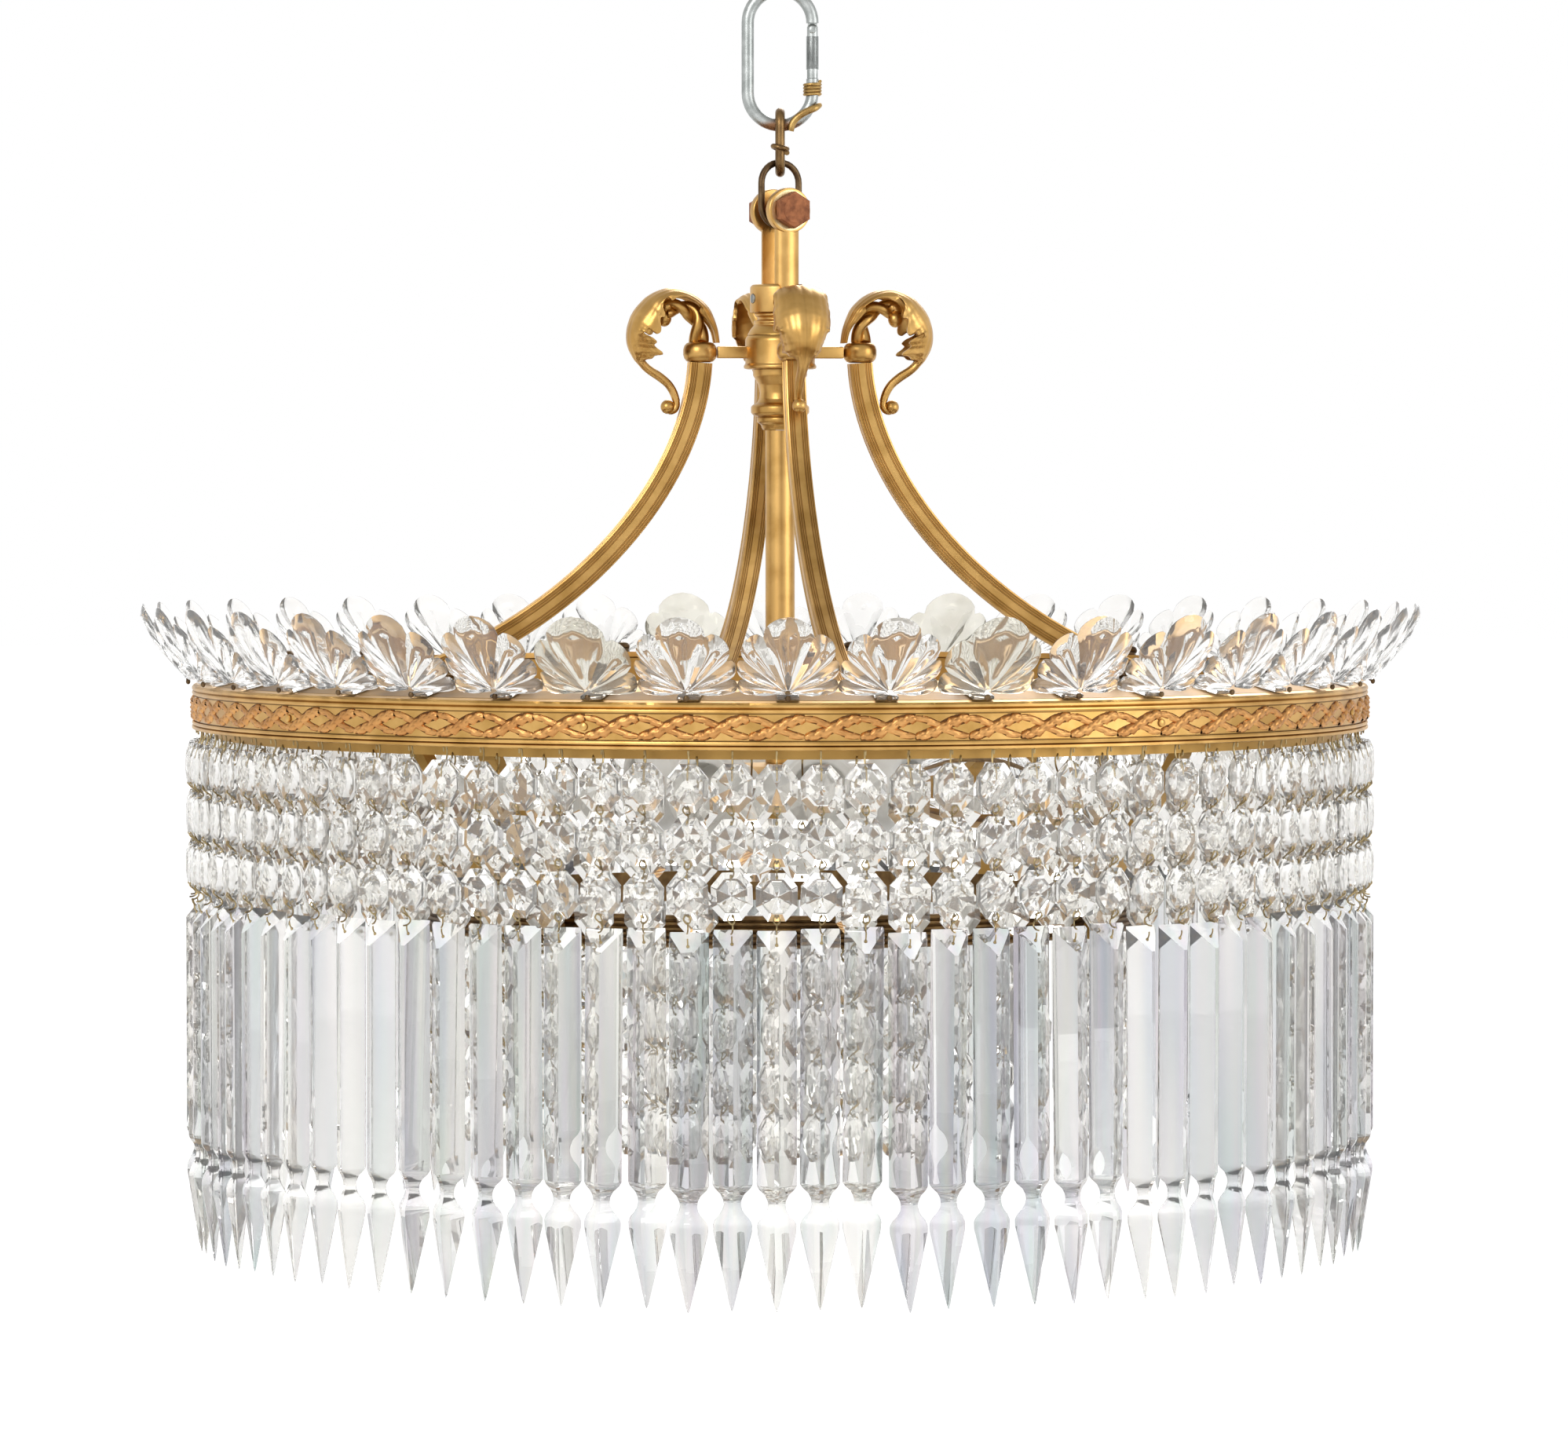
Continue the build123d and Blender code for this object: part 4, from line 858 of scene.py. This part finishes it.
floor_outline = [(182, FLOOR - 2), (250, FLOOR - 2), (250, RIM + 5.2), (248, RIM + 5.2), (248, FLOOR),
                 (182, FLOOR)]
finish("ring_floor_spun", lathe(floor_outline, 160, True), "aged_brass", "ring_floor")
strip_outline = [(266, RIM - 25), (268, RIM - 25), (268, BAND_LOW), (275.8, BAND_LOW),
                 (275.8, BAND_LOW + 2), (266, BAND_LOW + 2)]
finish("hook_strip_spun", lathe(strip_outline, 160, True), "aged_brass", "hook_strip")

# screws through the frieze and studs with nuts at the feet of the glass shells
studs = lathe([(0, 0), (2, 0), (2, 1.6), (3.6, 1.9), (3.9, 3), (3.2, 4.4), (1.6, 5.2), (0, 5.4)], 16)
nuts = rod(bmesh.new(), 7.4, (0, 0, -0.6), (0, 0, 1.6), 6, edge=0.3)
add(studs, nuts)
places = [on_ring(360 / SHELLS * i, STUD_R, shoulder_top(STUD_R) + 0.8) @ turn(15, "Y")
          for i in range(SHELLS)]
finish("shell_studs", copies(studs, places), "dark_bronze")
heads = lathe([(0, 0), (1.9, 0), (1.7, 0.6), (0.9, 1), (0, 1.1)], 16)
places = [on_ring(90 * k + side * 27.6, 279.4, FRIEZE_MIDDLE) @ turn(90, "Y")
          for k in range(4) for side in (-1, 1)]
finish("frieze_screws", copies(heads, places), "gilt_bronze")

# ---------------- glass shells
SHELL_PATH = through([(277.8, -1), (280.4, 1.8), (283, 4.8), (288.4, 11.2), (293.8, 18.2), (298.8, 25.8),
                      (302.4, 33), (304.6, 39.6)], 4)
_runs = [0]
for (r0, z0), (r1, z1) in zip(SHELL_PATH, SHELL_PATH[1:]):
    _runs.append(_runs[-1] + hypot(r1 - r0, z1 - z0))


def on_shell(along):
    """Place and upper normal of the shell's middle line, a length along from its foot."""
    along = min(max(along, 0), _runs[-1] - 1e-6)
    i = max(k for k, run in enumerate(_runs[:-1]) if run <= along)
    t = (along - _runs[i]) / (_runs[i + 1] - _runs[i])
    (r0, z0), (r1, z1) = SHELL_PATH[i], SHELL_PATH[i + 1]
    length = hypot(r1 - r0, z1 - z0)
    normal = Vector((-(z1 - z0) / length, (r1 - r0) / length))
    return Vector((r0 + (r1 - r0) * t, z0 + (z1 - z0) * t)), normal


FAN_FOOT = 7.6  # length along from the shell's foot to the point where its lobes meet
FAN_ANGLE = 104


def shell_side(lobes, outside):
    """The outside or the inside of a shell, a fan of lobes about the point where they meet."""
    bm = bmesh.new()
    bmesh.ops.create_grid(bm, x_segments=10 * lobes, y_segments=9, size=1)
    for vert in bm.verts:
        u, v = vert.co.x, (vert.co.y + 1) / 2
        angle = radians(FAN_ANGLE * copysign(abs(u) ** 0.84, u))
        wave = abs(cos(pi * lobes / 2 * u))
        reach = 39.5 - 17.5 * sin(min(abs(angle), pi / 2)) ** 1.7
        reach *= 0.86 + 0.14 * wave ** 0.45
        out = 1.6 + (reach - 1.6) * v
        across_, along = out * sin(angle), FAN_FOOT + out * cos(angle)
        place, normal = on_shell(along)
        cup = 5.5 * sin(angle) ** 2 * (out / 24) ** 1.4
        if outside:
            round_off = (1 - v ** 6) ** 0.5 if v < 1 else 0
            crease = 1.3 * exp(-(((u * lobes / 2 + 0.5) % 1 - 0.5) / 0.11) ** 2) * (0.25 < v < 0.87)
            lift = cup - 0.2 - (0.6 + 2.7 * wave ** 1.1 * min(1, v * 2.2)) * round_off + crease
        else:
            lift = cup + (0.4 - 0.4 * wave * min(1, v * 2.2)) * (1 - v ** 6)
        spot = place + normal * lift
        vert.co = Vector((spot.x, across_, RIM + spot.y + 0.3))
    return bm


def lobed_shell(lobes):
    """A pressed shell, cupped upward, with its tab over the ring's shoulder."""
    bm = shell_side(lobes, True)
    add(bm, shell_side(lobes, False))
    rims = [edge for edge in bm.edges if edge.is_boundary]
    bmesh.ops.bridge_loops(bm, edges=rims)
    tab = bmesh.new()
    block(tab, (259.5, -5, RIM + 3.1), (278.6, 5, RIM + 4.9), 0.6)
    turned_by(tab, move(269, 0, RIM + 4.6), turn(13, "Y"), move(-269, 0, -RIM - 4.6))
    return add(bm, tab)


CLOUDY = {27, 31, 7, 10}  # places of the four cloudy five-lobed replacements
finish("glass_shells_lobed", copies(lobed_shell(7), round_about(SHELLS, skip=CLOUDY)), "pressed_glass",
       "glass_shells", crease=42)
finish("glass_shells_replaced", copies(lobed_shell(5), [turn(360 / SHELLS * i) for i in sorted(CLOUDY)]),
       "pressed_glass", crease=42, look="cloudy_glass")
pin = ball(bmesh.new(), 2.8, (282.6, 0, RIM + 2.2), 10, (0.8, 1, 1))
finish("shell_pins", copies(pin, round_about(SHELLS)), "dark_bronze")


# ---------------- crystal strands
def ring_points(width, height, share, depth, shift=0):
    """Corners of an octagon facing outward along X; share is its straight sides' length."""
    half_w, half_h = width / 2, height / 2
    side_w, side_h = half_w * share, half_h * share
    right = [(side_w, half_h), (half_w, side_h), (half_w, -side_h), (side_w, -half_h)]
    return [(depth, across_, up + shift) for across_, up in right + [(-a, b) for a, b in reversed(right)]]


def cut_octagon():
    """An octagon with a flat border, a raised inner octagon and a star of facets on each face."""
    bm = bmesh.new()
    outlines = []
    for side in (-1, 1):
        table = ring_points(11.6, 13.6, OCTAGON_SIDES, side * 2.9)
        girdle = ring_points(*OCTAGON_SIZE, OCTAGON_SIDES, side * 1.1)
        outlines.append((girdle, table, (side * 3.6, 0, 0)))
    (back, back_table, back_tip), (front, front_table, front_tip) = outlines
    sweep(bm, [back_table, back, front, front_table], capped=False)
    for table, tip in ((back_table, back_tip), (front_table, front_tip)):
        rim = [e for e in bm.edges if e.is_boundary and abs(e.verts[0].co.x - table[0][0]) < 1e-4
               and abs(e.verts[1].co.x - table[0][0]) < 1e-4]
        face = bmesh.ops.contextual_create(bm, geom=rim)["faces"]
        star = bmesh.ops.poke(bm, faces=face)
        for vert in star["verts"]:
            vert.co = tip
    bmesh.ops.recalc_face_normals(bm, faces=bm.faces)
    return bm


def strand_places(radius, height, count, wobble=1, skip=(), only=None, start=0):
    """Places of crystals in a row: each a little turned and out of line."""
    places = []
    for i in range(count):
        spin, lean, drop = draw.uniform(-9, 9), draw.uniform(-2.5, 2.5), draw.uniform(-0.35, 0.35)
        if i in skip or (only is not None and i not in only):
            continue
        places.append(on_ring(start + 360 / count * i, radius, height + drop * wobble)
                      @ turn(spin * wobble) @ turn(lean * wobble, "X"))
    return places


def with_pins(places, reach=8.3, depth=1.9):
    """Pins' heads on both faces at the top and foot of each octagon."""
    pins = bmesh.new()
    for up in (-reach, reach):
        for side in (-1, 1):
            ball(pins, 1.5, (side * depth, 0, up), 6, (0.55, 1, 1))
    return copies(pins, places)


def wire_places(radius, heights, count, swing, skip=()):
    """Places of the wires between crystals, each turned a little."""
    return [on_ring(360 / count * i, radius, height) @ turn(draw.uniform(-swing, swing))
            for height in heights for i in range(count) if i not in skip]


def octagons(name, places, *stands_for, body="frame"):
    finish(name, copies(cut_octagon(), places), "crystal", *stands_for, body=body, crease=4)


def wires(name, bm, *stands_for, body="frame"):
    finish(name, bm, "crystal_wire", *stands_for, body=body, crease=60)


row_places = []
for row, height in enumerate(OCTAGON_Z):
    places = strand_places(OCTAGON_R, height, STRANDS, skip=(SWING,))
    row_places += places
    octagons(f"octagons_row_{row + 1}_cut", places, f"octagons_row_{row + 1}")
swing_angle = 360 / STRANDS * SWING
swing_places = [on_ring(swing_angle, OCTAGON_R, height) for height in OCTAGON_Z]
octagons("swing_octagons_cut", swing_places, "swing_octagons", body="free_chain")
wires("octagon_pins", with_pins(row_places))
wires("swing_octagon_pins", with_pins(swing_places), body="free_chain")


def clip():
    """The bent wire between two crystals, which grips the pin over it and hooks the one under it."""
    bm = bmesh.new()
    tube(bm, through([(1.6, -0.5, 4.4), (2.2, -1.5, 2.4), (0.4, -1.1, 0.7), (0, 0, -0.2), (0.4, 1.1, 0.7),
                      (2.2, 1.5, 2.4), (1.6, 0.5, 4.4)], 2), 0.38, 5)
    tube(bm, through([(0, 0, 0.4), (-1.5, 0, -0.9), (-1.7, 0, -2.6), (0, 0, -4), (1.9, 0, -4.2)], 2),
         0.38, 5)
    return bm


def hook():
    """The bent wire that hooks over the ring's edge hole and holds a strand."""
    bm = bmesh.new()
    tube(bm, through([(2.4, 0, -13.8), (1.7, 0, -10.2), (-0.6, 0, -6), (-1.1, 0, -2.2), (0.2, 0, 0.6),
                      (1.3, 0, -0.6), (1.2, 0, -2.6)], 3), 0.42, 6)
    return bm


gaps = [z - OCTAGON_PITCH / 2 for z in OCTAGON_Z]
wires("strand_wires_bent", copies(clip(), wire_places(OCTAGON_R, gaps, STRANDS, 25, (SWING,))),
      "strand_wires")
wires("swing_wires_bent", copies(clip(), [on_ring(swing_angle, OCTAGON_R, gap) for gap in gaps]),
      "swing_wires", body="free_chain")
wires("strand_hooks_bent", copies(hook(), wire_places(STRAND - 0.4, [BAND_LOW + 0.4], STRANDS, 8)),
      "strand_hooks")


def spear_prism():
    """A three-sided bar with a narrow flat down its front, drawn in to a neck above a spear."""
    def corners(drop, width, front_drop=None, flat=0.95, edge=0.45):
        back = -3 * width / PRISM_WIDTH
        front = back + PRISM_DEPTH * width / PRISM_WIDTH
        low = drop if front_drop is None else front_drop
        half = width / 2
        side_x, side_z = back + edge * 1.6, -drop - (low - drop) * 0.1
        return [(back, -half + edge, -drop), (back, half - edge, -drop), (side_x, half, side_z),
                (front, flat, -low), (front, -flat, -low), (side_x, -half, side_z)]

    levels = [corners(0, PRISM_WIDTH, 11)]
    for drop, width in ((111.4, PRISM_WIDTH), (113.2, 15.4), (115.4, 10.6), (117.8, 8.2), (120, 7.6),
                        (122, 8.4), (124.2, 11), (126.2, 14.6), (128, 16.6), (129, 17.2), (132, 17),
                        (164.5, 1.8)):
        levels.append(corners(drop, width, None, min(0.95, width * 0.09), min(0.45, width * 0.04)))
    levels.append([(x * 0.2, y * 0.2, -166.6) for x, y, _ in levels[-1]])
    bm = bmesh.new()
    sweep(bm, levels)
    bmesh.ops.recalc_face_normals(bm, faces=bm.faces)
    return bm


prism_places = []
for i in range(STRANDS):
    spin, drop, lean = draw.uniform(-7, 7), draw.uniform(-1.6, 1.6), draw.uniform(-0.5, 0.5)
    if i != SWING:
        place = on_ring(360 / STRANDS * i, STRAND, PRISM_TOP + drop)
        prism_places.append(place @ turn(spin) @ turn(lean, "X"))
swing_prism_place = [on_ring(swing_angle, STRAND, PRISM_TOP)]
for name, places, node, body in (("spear_prisms_cut", prism_places, "spear_prisms", "frame"),
                                 ("swing_prism_cut", swing_prism_place, "swing_prism", "free_prism")):
    finish(name, copies(spear_prism(), places), "crystal", node, body=body, crease=14, look="prism_glass")


def prism_pin():
    bm = bmesh.new()
    ball(bm, 1.7, (1.9, 0, -6), 8, (0.7, 1, 1))
    tube(bm, through([(1.9, 0, -6), (3, 0, -4), (3.1, 0, -2.4)], 3), 0.36, 5)
    return bm


wires("prism_pins", copies(prism_pin(), prism_places))
wires("swing_prism_pin", copies(prism_pin(), swing_prism_place), body="free_prism")

# the second row: hooks under the strip inside the ring, each with three more octagons
SECOND, SECOND_R, SECOND_START = 72, 267, 2.5
SECOND_Z = (-372, -395.7, -419.4)
NEAR_SWING = {51, 52}  # hung further in and one octagon shorter, clear of the strand that swings
NEAR_R = SECOND_R - 12


def on_second(i, height):
    return on_ring(SECOND_START + 360 / SECOND * i, NEAR_R if i in NEAR_SWING else SECOND_R, height)


second_places = []
for height in SECOND_Z:
    second_places += strand_places(SECOND_R, height, SECOND, skip=NEAR_SWING, start=SECOND_START)
    if height > SECOND_Z[-1]:
        second_places += strand_places(NEAR_R, height, SECOND, only=NEAR_SWING, start=SECOND_START)
octagons("second_row_octagons", second_places)
wires("second_row_pins", with_pins(second_places))
upper_gap, lower_gap = (height - OCTAGON_PITCH / 2 for height in SECOND_Z[:2])
second_wires = [on_second(i, height) @ turn(draw.uniform(-25, 25)) for height in (upper_gap, lower_gap)
                for i in range(SECOND) if height == upper_gap or i not in NEAR_SWING]
wires("second_row_wires", copies(clip(), second_wires))
second_hooks = [on_second(i, RIM - 24) @ Matrix.Diagonal((1, 1, 0.85, 1)) for i in range(SECOND)]
wires("second_row_hooks", copies(hook(), second_hooks))

# ---------------- lamps
box_outline = [(0, LAMP_Z - 17), (8, LAMP_Z - 17), (8, LAMP_Z - 11), (33, LAMP_Z - 11), (37, LAMP_Z - 7),
               (37, LAMP_Z + 7), (25, LAMP_Z + 11), (8, RIM - 38.2), (0, RIM - 38.2)]
finish("lamp_hub_turned", lathe(rounded(box_outline, 0.8), 64), "aged_brass", "lamp_hub")

holder = [(0, 37.2), (11, 37.2), (13.5, 39), (13.5, 49), (14.5, 51.2), (19, 55.2), (20, 58), (20, 71.2),
          (19, 73.2), (15.5, 73.2), (14.5, 72), (14.5, 56.2), (0, 56.2)]
holder_bm = turned_by(lathe(rounded(holder, 0.8), 40), move(0, 0, LAMP_Z), turn(90, "Y"))
finish("lampholders_turned", copies(holder_bm, round_about(LAMPS, LAMP_TURN)), "ceramic", "lampholders")

bulb = through([(0.5, 138.4), (8, 136.8), (16.5, 131.5), (21.6, 122.5), (22.5, 112), (20.8, 98), (16.2, 84),
                (13.2, 75), (13, 68)], 4)
bulb_bm = lathe([(0, 56.4), (13, 56.4)] + bulb[::-1] + [(0, 138.5)], 40)
turned_by(bulb_bm, move(0, 0, LAMP_Z), turn(90, "Y"))
finish("lamp_blown", copies(bulb_bm, [turn(LAMP_TURN - 360 / LAMPS)]), "lamp_glass", "lamp", crease=40)

# ---------------- lower ring and its chains
ribs = []
for i in range(6):
    low = RIM - 115 + 2.5 * i
    ribs += [(172.2, low + 0.1), (173, low + 0.7), (173, low + 1.8), (172.2, low + 2.4)]
lower_outline = [(170, RIM - 115)] + ribs + [(170, RIM - 100)]
finish("lower_ring_ribbed", lathe(lower_outline, 144, True), "dark_bronze", "lower_ring", crease=30,
       painted_hollow_shade=2, look="brown_binding")
LOWER, LOWER_R = 44, 171.5
LOWER_Z = [RIM - 128.2 - OCTAGON_PITCH * row for row in range(4)]
lower_places = []
for height in LOWER_Z:
    lower_places += strand_places(LOWER_R, height, LOWER, 1.6)
octagons("lower_octagons_cut", lower_places, "lower_octagons")
wires("lower_octagon_pins", with_pins(lower_places))
lower_gaps = [height + OCTAGON_PITCH / 2 for height in LOWER_Z]
wires("lower_chain_wires_bent", copies(clip(), wire_places(LOWER_R, lower_gaps, LOWER, 40)),
      "lower_chain_wires")

# ---------------- CAD pieces shown as they are
SLOTS = {"lower_brackets": "aged_brass"}
for name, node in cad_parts.items():
    node.data.materials.clear()
    node.data.materials.append(FINISHES[SLOTS.get(name, "gilt_bronze")])

# ---------------- floor, light and camera
scene = bpy.context.scene
FLOOR_Z = -1.35
ground = bmesh.new()
bmesh.ops.create_grid(ground, x_segments=1, y_segments=1, size=40, matrix=move(0, 0, FLOOR_Z))
floor = put_in_scene("studio_floor", mesh_from("studio_floor", ground))
floor_material, tree, shader = new_material("studio floor")
tree.nodes.remove(shader)
rays = add_node(tree, "LightPath", {})
seen = calculate(tree, "MAXIMUM", rays["Is Camera Ray"], rays["Is Glossy Ray"])
seen = calculate(tree, "MAXIMUM", seen, rays["Is Transmission Ray"])
glow = add_node(tree, "Emission", {"Strength": calculate(tree, "MULTIPLY", seen, 0.78)})[0]
paint = add_node(tree, "BsdfDiffuse", {"Color": (0.62, 0.62, 0.62, 1)})[0]
both = add_node(tree, "AddShader", {0: paint, 1: glow})[0]
feed(tree, tree.nodes["Material Output"], {"Surface": both})
floor.data.materials.append(floor_material)

# the world lights softly, is banded where glass and metal mirror it, and is white to the camera
scene.world = bpy.data.worlds.new("studio")
scene.world.use_nodes = True
tree = scene.world.node_tree
tree.nodes.clear()
direction = add_node(tree, "TexCoord", {})["Generated"]
upward = add_node(tree, "SeparateXYZ", {0: direction})["Z"]
bands = ramp_from(tree, calculate(tree, "ABSOLUTE", upward), 0.25, 0.85, (1, 1, 1), (0.64, 0.635, 0.62))
rays = add_node(tree, "LightPath", {})
mirrored = calculate(tree, "MAXIMUM", rays["Is Glossy Ray"], rays["Is Transmission Ray"])
soft_light = add_node(tree, "Background", {"Color": (1, 1, 1, 1), "Strength": 0.5})[0]
banded = add_node(tree, "Background", {"Color": bands})[0]
white = add_node(tree, "Background", {"Color": (1, 1, 1, 1), "Strength": 1})[0]
light = add_node(tree, "MixShader", {0: mirrored, 1: soft_light, 2: banded})[0]
add_node(tree, "OutputWorld", {"Surface": add_node(
    tree, "MixShader", {0: rays["Is Camera Ray"], 1: light, 2: white})[0]})


def lamp(name, place, aim, size, power):
    data = bpy.data.lights.new(name, "AREA")
    data.shape = "SQUARE"
    data.size, data.energy = size, power
    light = put_in_scene(name, data)
    light.location = place
    light.rotation_euler = (Vector(aim) - Vector(place)).to_track_quat("-Z", "Y").to_euler()


MIDDLE = (0, 0, -0.35)
lamp("key", (-1.9, -2.6, 1.2), MIDDLE, 1.3, 46)
lamp("fill", (2.4, -2, 0.3), MIDDLE, 1.6, 26)
lamp("back", (0.9, 2.8, 1.5), MIDDLE, 1.5, 36)

# the camera stands where the photograph was taken, a little left of the front and level with the ring
CAMERA = (-0.519, -3.036, -0.229)
camera = put_in_scene("camera", bpy.data.cameras.new("camera"))
camera.data.sensor_width, camera.data.lens = 36, 148
camera.data.clip_end = 100
camera.location = CAMERA
heading = atan2(-CAMERA[1], -CAMERA[0]) - radians(0.035)
pitch = radians(-2.2)
ahead = Vector((cos(heading) * cos(pitch), sin(heading) * cos(pitch), sin(pitch)))
camera.rotation_euler = ahead.to_track_quat("-Z", "Y").to_euler()
scene.camera = camera
scene.view_settings.view_transform = "Standard"
scene.cycles.max_bounces = scene.cycles.transmission_bounces = 20
